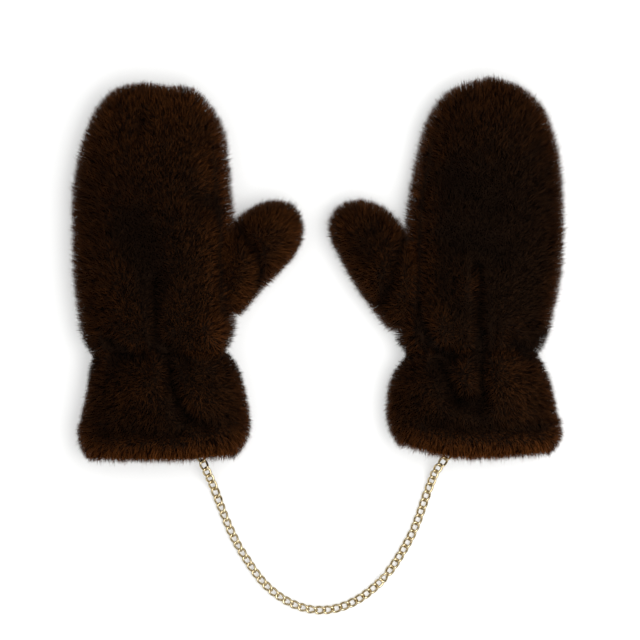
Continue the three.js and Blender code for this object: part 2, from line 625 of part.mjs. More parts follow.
function buildMitten(side, mitten) {
  const cavity = handCavity(mitten);
  const thumbSpace = thumbForm(mitten, true);
  const shell = handForm(mitten, 0).subtract(cavity);
  const back = shell.intersect(seamBlock(true));
  const palm = shell.subtract(thumbSpace).intersect(seamBlock(false));
  const thumb = thumbForm(mitten, false).subtract(handForm(mitten, SEAM_GAP)).subtract(thumbSpace);
  const cuff = cuffForm(mitten).subtract(cuffCavity(mitten));
  const anchor = piece(`${side}_chain_anchor`, anchorSolid(), TAPE);
  anchor.rotation.z = LEAN;
  anchor.position.set(anchorAcross(mitten), CHAIN_INSET - CUFF_LENGTH, 0);
  const group = new THREE.Group();
  group.name = `${side}_mitten`;
  group.add(
    piece(`${side}_back_panel`, back, FUR),
    piece(`${side}_palm_panel`, palm, FUR),
    piece(`${side}_thumb`, thumb, FUR),
    piece(`${side}_cuff`, cuff, FUR),
    anchor,
  );
  return group;
}

const left = buildMitten("left", MITTENS.left);
left.position.set(-PAIR_SPACING / 2, 0, 0);
const right = buildMitten("right", MITTENS.right);
right.scale.x = -1;
right.position.set(PAIR_SPACING / 2, RIGHT_LEAD, 0);

const pair = new THREE.Group();
pair.add(left, right, piece("chain", chainSolid(), GOLD));

// The origin is the middle of the pair's outline, on the surface that it lies on.
const reach = new THREE.Box3().setFromObject(pair, true);
const middle = reach.getCenter(new THREE.Vector3());
pair.position.set(-middle.x, -middle.y, -reach.min.z);

export default pair;
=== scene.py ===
# %% [markdown]
# # A pair of fur mittens on a curb chain
# Dark brown short-pile fur, drawn in at the wrists by a hidden elastic, with a light-gold chain from cuff
# to cuff. The solid model gives every piece its size and place. Here each piece gets its real surface: a
# dense underfur, and over it the pile, hair by hair.

# %% The frame
import math

import bmesh
import bpy
import numpy as np
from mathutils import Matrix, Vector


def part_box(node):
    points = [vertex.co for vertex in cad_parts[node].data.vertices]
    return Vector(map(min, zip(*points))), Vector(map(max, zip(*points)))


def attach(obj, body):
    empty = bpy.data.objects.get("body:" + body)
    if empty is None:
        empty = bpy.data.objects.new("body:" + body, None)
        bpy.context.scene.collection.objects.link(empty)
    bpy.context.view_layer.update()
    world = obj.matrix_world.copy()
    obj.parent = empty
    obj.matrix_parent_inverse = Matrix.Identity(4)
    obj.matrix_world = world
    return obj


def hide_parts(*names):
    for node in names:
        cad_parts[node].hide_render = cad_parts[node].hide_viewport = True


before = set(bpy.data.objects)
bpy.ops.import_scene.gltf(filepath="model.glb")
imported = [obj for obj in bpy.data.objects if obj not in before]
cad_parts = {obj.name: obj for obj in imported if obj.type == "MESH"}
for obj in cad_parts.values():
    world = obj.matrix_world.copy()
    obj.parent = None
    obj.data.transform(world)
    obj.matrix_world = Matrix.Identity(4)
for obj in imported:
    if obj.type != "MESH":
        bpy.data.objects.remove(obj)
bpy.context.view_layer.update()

# %% [markdown]
# ## Measures
# Everything is in metres, and the small sizes are written in millimetres. The outlines are short tables
# of sections: how far along a section lies, how far it reaches to each side, and how high and deep it is.
# Each is a share of one named size, so that a table is a shape and the named sizes give it its scale.

# %% Sizes of one mitten
MM = 0.001
HAND_LENGTH, HAND_WIDTH, HAND_CREST = 202 * MM, 118 * MM, 24 * MM
CUFF_LENGTH, CUFF_WIDTH, CUFF_CREST = 80 * MM, 128 * MM, 23 * MM
THUMB_LENGTH, THUMB_WIDTH, THUMB_CREST = 98 * MM, 44 * MM, 19 * MM
WRIST_WIDTH, WRIST_CREST, WRIST_BELLY = 98 * MM, 15.5 * MM, 16 * MM
BELLY, THUMB_BELLY = 20 * MM, 18 * MM
PRESSED_SHARE = 0.95
MIDDLE_LEVEL, THUMB_LEVEL = PRESSED_SHARE * BELLY, PRESSED_SHARE * THUMB_BELLY
SIDE_WALL, TOP_WALL, UNDER_WALL = 12 * MM, 11 * MM, 9 * MM
SEAM_RISE_NEAR, SEAM_RISE_FAR = 15 * MM, -1 * MM
CREST_FULLNESS, BELLY_FULLNESS = 2.3, 2.9
PILE = 5.2 * MM  # from the underfur to the outline of the solid model
HAIR_REACH = 1.42  # a hair's length for that depth, because it leans and thins out to a point
PRESSED_PILE = 1.5 * MM  # under the mitten, where the hairs are laid flat
SURFACE_CLEARANCE = 0.3 * MM

# %% Sections
# Far is the little-finger side, and near the thumb side.
# Columns: up, down, then along, far and near for the left-hand mitten and again for the right-hand one.
HANDS = np.array([
    (0.65, 0.8, 0.0, 0.83, 0.83, 0.0, 0.83, 0.83),
    (0.78, 0.9, 0.03, 0.89, 0.87, 0.026, 0.91, 0.89),
    (0.88, 1.0, 0.075, 0.94, 0.93, 0.07, 0.945, 0.94),
    (0.97, 1.03, 0.17, 0.99, 0.96, 0.16, 1.01, 0.86),
    (1.0, 1.06, 0.31, 1.04, 0.95, 0.295, 1.1, 0.81),
    (1.0, 1.06, 0.46, 1.05, 0.95, 0.455, 1.13, 0.81),
    (0.98, 1.06, 0.6, 1.05, 0.9, 0.593, 1.12, 0.76),
    (0.94, 1.05, 0.725, 0.98, 0.86, 0.718, 1.075, 0.67),
    (0.87, 1.02, 0.83, 0.87, 0.8, 0.821, 0.985, 0.58),
    (0.76, 0.93, 0.9, 0.76, 0.67, 0.894, 0.88, 0.455),
    (0.61, 0.79, 0.95, 0.62, 0.53, 0.945, 0.735, 0.32),
    (0.42, 0.56, 0.98, 0.46, 0.39, 0.978, 0.56, 0.12),
    (0.0, 0.0, 0.994, 0.1, -0.1, 1.005, 0.23, -0.23),
])
# Columns: along, up, down, then far and near for each mitten. On a thumb, far is the side towards the
# fingers.
CUFFS = np.array([
    (0.0, 0.67, 0.8, 0.766, 0.766, 0.766, 0.766),
    (0.04, 0.78, 0.9, 0.765, 0.82, 0.76, 0.75),
    (0.11, 0.88, 1.0, 0.775, 0.89, 0.8, 0.775),
    (0.38, 0.97, 1.05, 0.815, 0.99, 0.92, 0.935),
    (0.68, 1.0, 1.05, 0.89, 1.06, 0.99, 0.98),
    (0.8, 1.03, 1.05, 0.93, 1.06, 1.04, 0.98),
    (0.91, 0.98, 1.02, 0.9, 1.0, 1.04, 0.94),
    (0.97, 0.86, 0.92, 0.86, 0.94, 0.97, 0.91),
    (1.0, 0.72, 0.76, 0.81, 0.88, 0.91, 0.85),
])
THUMBS = np.array([
    (0.0, 0.45, 0.6, 0.7, 0.75, 0.7, 1.3),
    (0.13, 0.68, 0.85, 0.95, 0.98, 0.9, 1.4),
    (0.3, 0.88, 1.0, 1.1, 0.98, 1.04, 1.36),
    (0.46, 0.98, 1.04, 1.14, 1.0, 1.1, 1.27),
    (0.62, 1.0, 1.04, 1.13, 1.04, 1.12, 1.14),
    (0.76, 0.97, 1.03, 1.02, 1.03, 1.08, 0.97),
    (0.86, 0.86, 0.95, 0.84, 0.87, 0.93, 0.84),
    (0.93, 0.66, 0.76, 0.6, 0.64, 0.66, 0.67),
    (0.975, 0.4, 0.48, 0.32, 0.38, 0.36, 0.42),
    (1.0, 0.0, 0.0, 0.0, 0.0, 0.0, 0.0),
])

# %% [markdown]
# Soft fur shows its folds as dark valleys between rounded swells. Each is a line with a width and a
# depth, and a swell has a negative depth. A valley is pressed into the surface and its hairs are also
# painted darker, as painted shade; a swell is raised a little and its hairs are painted lighter, as a
# painted highlight. Across is a share of half the hand's width, thumb side positive. Along is a share of
# the hand's length above the wrist, or of the cuff's below it. The width is a share of the hand's width,
# and the depth a share of the wall.

# %% Folds
# Columns: start across, start along, end across, end along, width, depth.
LEFT_FOLDS = np.array([
    (-0.03, 0.25, -0.01, 0.02, 0.035, 0.55),
    (0.12, 0.03, 0.17, -0.3, 0.035, 0.6),
    (0.17, -0.3, 0.36, -0.56, 0.045, 0.5),
    (0.36, -0.56, 0.62, -0.68, 0.05, 0.3),
    (-0.62, 0.07, -0.44, 0.01, 0.035, 0.42),
    (-0.44, 0.01, -0.2, -0.04, 0.04, 0.3),
    (-0.25, 0.44, -0.05, 0.25, 0.13, 0.3),
    (0.8, 0.16, 0.84, 0.09, 0.04, 0.3),
    (-0.2, 0.86, -0.22, 0.8, 0.05, 0.18),
    (0.55, 0.56, 0.7, 0.5, 0.06, 0.25),
    (0.66, 0.09, 0.72, 0.045, 0.07, -0.75),
    (0.5, -0.4, 0.58, -0.46, 0.08, -0.25),
    (-0.1, -0.2, -0.2, -0.36, 0.1, -0.22),
    (0.32, 0.2, 0.34, 0.1, 0.08, -0.08),
    (-0.5, 0.25, -0.5, 0.12, 0.12, -0.15),
    (0.3, -0.74, -0.7, -0.74, 0.05, 0.22),
])
RIGHT_FOLDS = np.array([
    (-0.06, 0.3, -0.1, 0.05, 0.035, 0.5),
    (-0.1, 0.05, -0.14, -0.4, 0.04, 0.6),
    (0.62, 0.15, 0.5, 0.03, 0.035, 0.5),
    (0.5, 0.03, 0.2, -0.06, 0.04, 0.5),
    (0.4, -0.12, 0.22, -0.42, 0.05, 0.45),
    (0.22, -0.42, -0.1, -0.5, 0.06, 0.35),
    (-0.5, 0.04, -0.72, -0.04, 0.035, 0.4),
    (0.25, 0.62, -0.25, 0.52, 0.12, 0.2),
    (0.2, 0.41, -0.3, 0.36, 0.1, 0.25),
    (0.07, 0.26, 0.08, 0.22, 0.05, -0.3),
    (0.42, 0.11, 0.38, 0.04, 0.075, -0.45),
    (0.1, 0.08, 0.06, 0.03, 0.05, -0.2),
    (-0.45, 0.1, -0.4, 0.06, 0.07, -0.15),
    (-0.4, -0.2, -0.5, -0.4, 0.12, -0.22),
    (0.1, -0.16, 0.08, -0.3, 0.05, -0.2),
    (0.5, -0.7, -0.8, -0.74, 0.05, 0.2),
])
# On a thumb, across and along are shares of half its width and of its length, and the width of its width.
LEFT_THUMB_FOLDS = np.array([
    (-1.05, 0.61, 0.0, 0.56, 0.09, 0.3),
    (0.0, 0.56, 0.5, 0.47, 0.09, 0.42),
    (0.5, 0.47, 0.85, 0.28, 0.1, 0.35),
    (0.1, 0.38, 0.4, 0.3, 0.2, -0.2),
    (-0.2, 0.85, 0.3, 0.82, 0.3, -0.12),
])
RIGHT_THUMB_FOLDS = np.array([
    (-1.05, 0.54, 0.4, 0.31, 0.09, 0.45),
    (0.4, 0.31, 1.0, 0.24, 0.12, 0.25),
    (-0.3, 0.72, 0.2, 0.68, 0.35, 0.12),
    (-0.1, 0.88, 0.2, 0.84, 0.25, -0.12),
])
GATHER_PLEATS, GATHER_DEPTH, GATHER_REACH = 17, 1.0 * MM, 14 * MM
PLEAT_WOBBLE = 0.16  # how unevenly the pleats are spaced, in radians round the wrist
CREASE_LIMIT = 0.42
FOLD_FADE = 0.45  # the sine of the turn from which a fold has its full depth
# A swell is raised by only this share of its depth, and its hairs are painted lighter: a painted highlight.
SWELL_SHARE = 0.5  # a swell shows more by its lighter hairs than by its height

# %% The two mittens
# Mirror is 1 when the thumb points along +X. The tip's dip has a place, a width and a depth, the hem
# rises at the thumb's corner and at the far one, and the thumb's root lies across and along. Light is
# that of the hairs on the back. From the tables each mitten takes the columns along, far, near, up and
# down.
THUMB_ANGLE = math.radians(41.5)
MITTENS = {
    "left": {
        "mirror": 1, "seed": 11,
        "folds": LEFT_FOLDS, "thumb_folds": LEFT_THUMB_FOLDS, "thumb_root": (0.593, 0.173),
        "tip": (0.085, 0.12, 0.2), "hem_rise": (0.05, 0.025), "chain_across": 0.453,
        "light": 0.43, "seam": 0.55,
    },
    "right": {
        "mirror": -1, "seed": 47,
        "folds": RIGHT_FOLDS, "thumb_folds": RIGHT_THUMB_FOLDS, "thumb_root": (0.559, 0.163),
        "tip": (0.0, 0.085, 0.0), "hem_rise": (0.225, 0.075), "chain_across": 0.219,
        "light": 0.28, "seam": 1.0,
    },
}
for number, mitten in enumerate(MITTENS.values()):
    mitten["hand"] = HANDS[:, [2 + 3 * number, 3 + 3 * number, 4 + 3 * number, 0, 1]]
    mitten["cuff"] = CUFFS[:, [0, 3 + 2 * number, 4 + 2 * number, 1, 2]]
    mitten["thumb"] = THUMBS[:, [0, 3 + 2 * number, 4 + 2 * number, 1, 2]]

# %% [markdown]
# Each wrist's place comes from the solid model. The level where the hand meets the cuff is the wrist, and
# the hand's widest section reaches exactly to the far side of the back panel's box.

# %% Where the wrists are
for side, mitten in MITTENS.items():
    panel_low, panel_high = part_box(f"{side}_back_panel")
    cuff_low, cuff_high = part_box(f"{side}_cuff")
    reach = mitten["hand"][:, 1].max() * HAND_WIDTH / 2
    edge = panel_low[0] + reach if side == "left" else panel_high[0] - reach
    mitten["wrist"] = np.array([edge, (panel_low[1] + cuff_high[1]) / 2, 0.0])
    print(side, "wrist at", mitten["wrist"].round(4))

# %% [markdown]
# ## Camera, surface and light
# The photograph looks straight down on the pair, on a white surface under broad soft light. A long lens
# far above keeps the outlines true. The picture's middle and scale come from two measured facts: how many
# pixels the pair spans, and where the middle of its outline lies in the 640-pixel frame.

# %% Camera
FRAME_PIXELS = 640
PIXEL = 0.74 * MM
OUTLINE_MIDDLE = (318.0, 347.4)  # in the photograph's pixels
CAMERA_HEIGHT = 2.4
camera_data = bpy.data.cameras.new("overhead_camera")
camera_data.sensor_width = 36.0
camera_data.lens = camera_data.sensor_width * (CAMERA_HEIGHT - MIDDLE_LEVEL) / (FRAME_PIXELS * PIXEL)
camera = bpy.data.objects.new("overhead_camera", camera_data)
camera.location = (
    (FRAME_PIXELS / 2 - OUTLINE_MIDDLE[0]) * PIXEL,
    (OUTLINE_MIDDLE[1] - FRAME_PIXELS / 2) * PIXEL,
    CAMERA_HEIGHT,
)
bpy.context.scene.collection.objects.link(camera)
bpy.context.scene.camera = camera
bpy.context.scene.view_settings.view_transform = "Standard"
print("lens", round(camera_data.lens, 1), "mm, camera over", tuple(round(v, 4) for v in camera.location))


# %% [markdown]
# ## Material helpers
# One function adds a node, its settings and what feeds its inputs. Another turns a colour as it is
# written on screen, in sRGB, into the linear numbers that light works in.

# %% Nodes and colours
def add_node(tree, kind, inputs=None, **settings):
    """Adds a node. An input is given a number or colour, or linked when it is given another node's
    output."""
    made = tree.nodes.new("ShaderNode" + kind)
    for name, value in settings.items():
        setattr(made, name, value)
    for name, value in (inputs or {}).items():
        if isinstance(value, bpy.types.NodeSocket):
            tree.links.new(value, made.inputs[name])
        else:
            made.inputs[name].default_value = value
    return made


def linear(hex_colour):
    """sRGB hex to linear RGBA: each channel is divided by 12.92 when dark, otherwise raised to the power
    2.4."""
    channels = [int(hex_colour[i:i + 2], 16) / 255 for i in (1, 3, 5)]
    straight = [c / 12.92 if c <= 0.04045 else ((c + 0.055) / 1.055) ** 2.4 for c in channels]
    return (*straight, 1.0)


def new_material(name):
    """An empty node material and its tree."""
    material = bpy.data.materials.new(name)
    material.use_nodes = True
    material.node_tree.nodes.clear()
    return material, material.node_tree


def ramp(tree, factor, stops):
    """A colour ramp through (place, hex colour) stops."""
    made = add_node(tree, "ValToRGB", {"Fac": factor})
    elements = made.color_ramp.elements
    while len(elements) < len(stops):
        elements.new(0.5)
    for element, (place, colour) in zip(elements, stops):
        element.position = place
        element.color = linear(colour)
    return made.outputs["Color"]


def mix(tree, factor, first, second):
    """A blend of two colours. The node's sockets go by number, because the names of some repeat."""
    sockets = {0: factor, 6: first, 7: second}
    return add_node(tree, "Mix", sockets, data_type="RGBA").outputs[2]


def shade_surface(tree, inputs):
    """Ends a material's tree with a Principled shader that has these inputs."""
    shader = add_node(tree, "BsdfPrincipled", inputs)
    add_node(tree, "OutputMaterial", {"Surface": shader.outputs["BSDF"]})


# %% Surface and light
# The surface is pale opal acrylic. This much light burns it out to white, and it glows a little from
# below, which keeps the shadows faint. Two softboxes to the right throw them to the left. The sky is
# white straight above and pale at the horizon, and a dark band between the two gives polished metal its
# dark lines.
FLOOR_HALF, FLOOR_GLOW = 3.0, 0.36
SKY_STRENGTH = 1.2
corner_signs = [(-1, -1), (1, -1), (1, 1), (-1, 1)]
floor_mesh = bpy.data.meshes.new("white_surface")
floor_mesh.from_pydata([(x * FLOOR_HALF, y * FLOOR_HALF, 0) for x, y in corner_signs], [], [(0, 1, 2, 3)])
floor = bpy.data.objects.new("white_surface", floor_mesh)
bpy.context.scene.collection.objects.link(floor)
opal, tree = new_material("opal_acrylic_sheet")
shade_surface(tree, {
    "Base Color": linear("#C9C9C8"),
    "Roughness": 0.9,
    "Emission Color": linear("#FFFFFF"),
    "Emission Strength": FLOOR_GLOW,
})
floor_mesh.materials.append(opal)

world = bpy.data.worlds.new("soft_studio")
world.use_nodes = True
sky = world.node_tree
sky.nodes.clear()
direction = add_node(sky, "TexCoord").outputs["Generated"]
height = add_node(sky, "SeparateXYZ", {"Vector": direction}).outputs["Z"]
sky_colour = ramp(sky, height, [(0.1, "#D6D6D7"), (0.2, "#484849"), (0.5, "#4E4E50"), (0.66, "#FFFFFF")])
backdrop = add_node(sky, "Background", {"Color": sky_colour, "Strength": SKY_STRENGTH})
add_node(sky, "OutputWorld", {"Surface": backdrop.outputs["Background"]})
bpy.context.scene.world = world


def area_light(name, place, size, power):
    """A square softbox at a place, turned towards the middle of the pair."""
    data = bpy.data.lights.new(name, "AREA")
    data.size = size
    data.energy = power
    light = bpy.data.objects.new(name, data)
    light.location = place
    way = -np.array(place)
    light.rotation_euler = (math.acos(-way[2] / np.linalg.norm(way)), 0, math.atan2(way[0], -way[1]))
    bpy.context.scene.collection.objects.link(light)


area_light("softbox_above", place=(0.68, -0.2, 1.52), size=1.3, power=24.0)
area_light("softbox_right", place=(1.3, 0.0, 1.0), size=1.1, power=25.0)
print("stage ready")

# %% [markdown]
# ## The shape of a mitten
# A mitten is lofted: rounded sections follow one another along its length. Two things turn the short
# tables into a smooth skin. A Catmull-Rom curve passes through every row of a table, and each section is
# a superellipse, which lies between an ellipse and a rounded box. The alternative, a subdivided box,
# would need its corners pulled by hand, and would not give back the table's sizes.


# %% Smooth sections
def smooth_rows(rows, steps, closed_tip):
    """Points on the Catmull-Rom curve through the rows, at equal steps of the row number. Between two
    rows the cubic takes each row's slope from its two neighbours. A tip that closes is mirrored about its
    last row, so that the surface meets its pole square on."""
    first = 2 * rows[0] - rows[1]
    last = 2 * rows[-1] - rows[-2]
    if closed_tip:
        last = rows[-2].copy()
        centre = rows[-1, 1]
        last[1] = 2 * centre - rows[-2, 1]
        last[2] = -2 * centre - rows[-2, 2]
        last[3:] = -rows[-2, 3:]
    padded = np.vstack([first, rows, last])
    place = np.linspace(0, len(rows) - 1, steps)
    index = np.minimum(place.astype(int), len(rows) - 2)
    t = (place - index)[:, None]
    p0, p1, p2, p3 = (padded[index + k] for k in range(4))
    return 0.5 * (2 * p1 + (p2 - p0) * t + (2 * p0 - 5 * p1 + 4 * p2 - p3) * t**2
                  + (3 * p1 - p0 - 3 * p2 + p3) * t**3)


def sections(table, length, width, crest, belly, steps, closed_tip=False):
    """The smooth sections in metres, as columns: y, far, near, up, down."""
    rows = smooth_rows(table, steps, closed_tip)
    return rows * np.array([length, width / 2, width / 2, crest, belly])


def pared(rows, length, side, top, under, end):
    """The same sections with a layer taken off: so much at each side, on top, underneath and at the end."""
    out = rows.copy()
    centre = (rows[:, 2] - rows[:, 1]) / 2
    half = (rows[:, 2] + rows[:, 1]) / 2
    kept = half * np.clip(1 - side / np.maximum(half.max(), 1e-6), 0, 1)
    out[:, 0] = rows[:, 0] * (length - end) / length
    out[:, 1], out[:, 2] = kept - centre, kept + centre
    out[:, 3] = rows[:, 3] * (1 - top / rows[:, 3].max())
    out[:, 4] = rows[:, 4] * (1 - under / rows[:, 4].max())
    return out


def loop_points(rows, turns, middle, level):
    """A superellipse for each section, at the given turns: x = centre + half width * cos^p, z = middle +
    reach * sin^p, where the power p is 2 over the fullness, and cos^p keeps the sign of cos. Below the
    level it is flat."""
    cosine, sine = np.cos(turns), np.sin(turns)
    power = 2 / np.where(sine >= 0, CREST_FULLNESS, BELLY_FULLNESS)
    centre = ((rows[:, 2] - rows[:, 1]) / 2)[:, None]
    half = ((rows[:, 2] + rows[:, 1]) / 2)[:, None]
    reach = np.where(sine >= 0, rows[:, 3:4], rows[:, 4:5])
    x = centre + half * np.sign(cosine) * np.abs(cosine) ** power
    z = middle + reach * np.sign(sine) * np.abs(sine) ** power
    y = np.broadcast_to(rows[:, 0:1], x.shape)
    return np.stack([x, y, np.maximum(z, level)], axis=-1)


# %% Easing and directions
def smooth_step(value, low, high):
    """0 up to low, 1 from high on, and in between 3 t^2 - 2 t^3."""
    t = np.clip((value - low) / (high - low), 0, 1)
    return t * t * (3 - 2 * t)


def bell(value):
    """A bell curve, exp(-v^2): 1 at 0, and close to 0 from 2 on."""
    return np.exp(-(value**2))


def closed_round(grid):
    """The grid with its first column again at its end."""
    return np.concatenate([grid, grid[:, :1]], axis=1)


def running_length(points, least=0.0):
    """The length of each row up to each of its points. The least is added to every step."""
    step = np.linalg.norm(np.diff(points, axis=1), axis=-1) + least
    return np.concatenate([np.zeros((len(step), 1)), np.cumsum(step, axis=1)], axis=1)


def unit(vectors):
    """The vectors at length 1."""
    return vectors / np.maximum(np.linalg.norm(vectors, axis=-1, keepdims=True), 1e-12)


# %% [markdown]
# The folds only press on the upper side. A point's distance to each fold's line decides how deep it is
# pressed, by a bell curve. At the wrist, pleats fade out on both sides of the elastic.

# %% Folds and gathers
def fold_depth(folds, points, width, length_up, length_down):
    """How deep the folds go at each point: the sum over the folds of depth * exp(-(d / w)^2), where d is
    the distance to the fold's line and w its width."""
    lengths = np.where(folds[:, [1, 3]] > 0, length_up, length_down)
    starts = np.stack([folds[:, 0] * width / 2, folds[:, 1] * lengths[:, 0]], axis=1)
    ends = np.stack([folds[:, 2] * width / 2, folds[:, 3] * lengths[:, 1]], axis=1)
    depth = np.zeros(points.shape[:2])
    for start, end, spread, share in zip(starts, ends, folds[:, 4] * width, folds[:, 5]):
        run = end - start
        away = points[..., :2] - start
        t = np.clip((away @ run) / (run @ run), 0, 1)
        distance = np.linalg.norm(away - t[..., None] * run, axis=-1)
        depth += share * TOP_WALL * bell(distance / spread)
    return depth


def gather_depth(mitten, points, turns):
    """The pleats at the wrist: a cosine of the turn round the section, unevenly spaced, that fades by a
    bell curve with the distance from the wrist."""
    uneven = turns + PLEAT_WOBBLE * np.sin(5 * turns + mitten["seed"])
    fade = bell(points[..., 1] / GATHER_REACH)
    return GATHER_DEPTH * (1 + np.cos(GATHER_PLEATS * uneven)) * fade


def press(depth, points, turns, middle):
    """Lowers the upper side by a depth, by no more than a share of its height, and returns the depth
    kept."""
    deepest = CREASE_LIMIT * np.maximum(points[..., 2] - middle, 0)
    depth = np.minimum(depth * smooth_step(np.sin(turns), 0, FOLD_FADE), deepest)
    lowered = points.copy()
    lowered[..., 2] -= np.where(depth < 0, SWELL_SHARE * depth, depth)
    return lowered, depth


def panel_turns(rows, middle, columns, lower):
    """Turns from seam to seam at equal steps along each section. The side seam lies where the section
    crosses a slanted plane, which shows on top along the thumb side."""
    fine = np.linspace(-math.pi / 2, 3 * math.pi / 2, 1441)
    outline = loop_points(rows, fine[None, :] + np.zeros((len(rows), 1)), middle, 0.0)
    slope = (SEAM_RISE_NEAR - SEAM_RISE_FAR) / HAND_WIDTH
    plane = middle + (SEAM_RISE_NEAR + SEAM_RISE_FAR) / 2 + slope * outline[..., 0]
    above = outline[..., 2] > plane
    first = np.where(above.any(axis=1), above.argmax(axis=1), len(fine) // 3)
    from_end = above[:, ::-1].argmax(axis=1)
    last = np.where(above.any(axis=1), len(fine) - 1 - from_end, 2 * len(fine) // 3)
    run = running_length(outline[..., [0, 2]], least=1e-9)
    turns = np.empty((len(rows), columns))
    for row in range(len(rows)):
        start, stop = run[row, first[row]], run[row, last[row]]
        if lower:
            start, stop = stop, start + run[row, -1]
        wanted = np.linspace(start, stop, columns) % run[row, -1]
        turns[row] = np.interp(wanted, run[row], fine)
    return turns


# %% [markdown]
# ## From a grid to a mesh
# A surface is a grid of points. Its faces join each point to its neighbours, and one call hands them to
# Blender. A grid can close on itself across, as a tube does.


# %% Grid to mesh
def grid_faces(rows, columns, wrap_columns=False, wrap_rows=False, flip=False):
    """The four corners of each face of a grid, as one array of indices."""
    number = np.arange(rows * columns).reshape(rows, columns)
    if wrap_columns:
        number = closed_round(number)
    if wrap_rows:
        number = np.concatenate([number, number[:1]], axis=0)
    corners = [number[:-1, :-1], number[:-1, 1:], number[1:, 1:], number[1:, :-1]]
    faces = np.stack([c.ravel() for c in corners], axis=1)
    return faces[:, ::-1] if flip else faces


def make_mesh(name, points, faces, material, attributes=None, merge=False):
    """A mesh object at the origin from an array of points and an array of faces that all have as many
    corners. Merging closes a pole, where a whole row of points lies at one place."""
    mesh = bpy.data.meshes.new(name)
    faces = np.asarray(faces, dtype=np.int32)
    mesh.vertices.add(len(points))
    mesh.vertices.foreach_set("co", np.asarray(points, dtype=np.float32).ravel())
    mesh.loops.add(faces.size)
    mesh.loops.foreach_set("vertex_index", faces.ravel())
    mesh.polygons.add(len(faces))
    mesh.polygons.foreach_set("loop_start", np.arange(0, faces.size, faces.shape[1], dtype=np.int32))
    mesh.update(calc_edges=True)
    mesh.polygons.foreach_set("use_smooth", np.ones(len(faces), dtype=bool))
    for key, values in (attributes or {}).items():
        layer = mesh.attributes.new(key, "FLOAT", "POINT")
        layer.data.foreach_set("value", np.asarray(values, dtype=np.float32).ravel())
    mesh.materials.append(material)
    if merge:
        shape = bmesh.new()
        shape.from_mesh(mesh)
        bmesh.ops.remove_doubles(shape, verts=shape.verts, dist=1e-6)
        shape.to_mesh(mesh)
        shape.free()
    made = bpy.data.objects.new(name, mesh)
    bpy.context.scene.collection.objects.link(made)
    return made


def place_in_pair(mitten, points):
    """From the mitten's own frame, wrist at the origin and thumb side along +X, to its place in the
    pair."""
    placed = points * np.array([mitten["mirror"], 1, 1])
    return placed + mitten["wrist"]


# %% [markdown]
# ## Materials of the mitten
# The pile is faux mink: fine, soft fibres, dark brown from root to tip. Where light gets between them, at
# the rims and along the hem, the hairs are painted lighter: painted light. Fibres barely shine, so their
# specular level is low. The colour follows two values that each hair carries: how far a point lies along
# it, and its lightness, which holds its tone together with painted light (at the rims, the hem, swells, the
# elastic and the fingertip) and painted shade (in valleys and along the seam). Underneath is the dense
# underfur, and inside the mitten the brushed backing.

# %% Fur
PLAIN_HAIR = 0.3  # the lightness at which a hair has its plain dark brown
FIBRE_SPECULAR = 0.08
pile, tree = new_material("faux_mink_pile")
along_hair = add_node(tree, "Attribute", attribute_name="along_hair").outputs["Fac"]
lightness = add_node(tree, "Attribute", attribute_name="lightness").outputs["Fac"]
# Three hair colours: a near black one for painted shade, and for hairs a little darker than plain; the
# plain dark brown; and a lighter one for lighter tone and painted light.
darker_and_painted_shade_hair = ramp(tree, along_hair, [(0.0, "#080201"), (1.0, "#0C0401")])
dark_hair = ramp(tree, along_hair, [(0.0, "#1E0D04"), (0.5, "#200E04"), (1.0, "#221004")])
lighter_and_painted_lit_hair = ramp(tree, along_hair, [(0.0, "#4E270C"), (0.5, "#5E3111"), (1.0, "#7A461A")])
# Below the plain lightness the hair is mixed towards the painted shade, above it towards the lighter tone
# and painted light.
out_of_painted_shade = add_node(tree, "MapRange", {"Value": lightness, "From Max": PLAIN_HAIR})
into_the_light = add_node(tree, "MapRange", {"Value": lightness, "From Min": PLAIN_HAIR})
shaded = mix(tree, out_of_painted_shade.outputs["Result"], darker_and_painted_shade_hair, dark_hair)
shade_surface(tree, {
    "Base Color": mix(tree, into_the_light.outputs["Result"], shaded, lighter_and_painted_lit_hair),
    "Roughness": 0.6,
    "Specular IOR Level": FIBRE_SPECULAR,
    "Specular Tint": linear("#FFD9B0"),
    "Sheen Weight": 0.05,
    "Sheen Roughness": 0.5,
    "Sheen Tint": linear("#D8CCC0"),
})

# %% Underfur and backing
UNDERFUR_GRAIN = 0.9 * MM  # the tufts of the underfur
underfur, tree = new_material("dense_underfur")
where = add_node(tree, "TexCoord").outputs["Object"]
tufts = add_node(tree, "TexNoise", {"Vector": where, "Scale": 1 / UNDERFUR_GRAIN, "Detail": 3.0})
tuft_colour = ramp(tree, tufts.outputs["Fac"], [(0.3, "#110702"), (0.75, "#1C0E04")])
tuft_relief = {"Height": tufts.outputs["Fac"], "Strength": 0.6, "Distance": 0.8 * MM}
shade_surface(tree, {
    "Base Color": tuft_colour,
    "Roughness": 0.9,
    "Specular IOR Level": FIBRE_SPECULAR,
    "Normal": add_node(tree, "Bump", tuft_relief).outputs["Normal"],
})

# %% [markdown]
# ## The pile
# Blender's hair curves would be quicker to comb, but they vanish when the part is exported. So each hair
# is a tapered blade of three triangles, and tens of thousands of blades are one mesh, worked out as
# arrays. A hair is rooted at random on the underfur, stands up, then leans over a little. Neighbours lean
# alike, in clumps, and a few guard hairs stand out past the rest, which gives the outline its fuzz. Hairs
# in a valley or on a seam are shorter, and painted darker as painted shade. Beneath the mitten they lie
# flat.

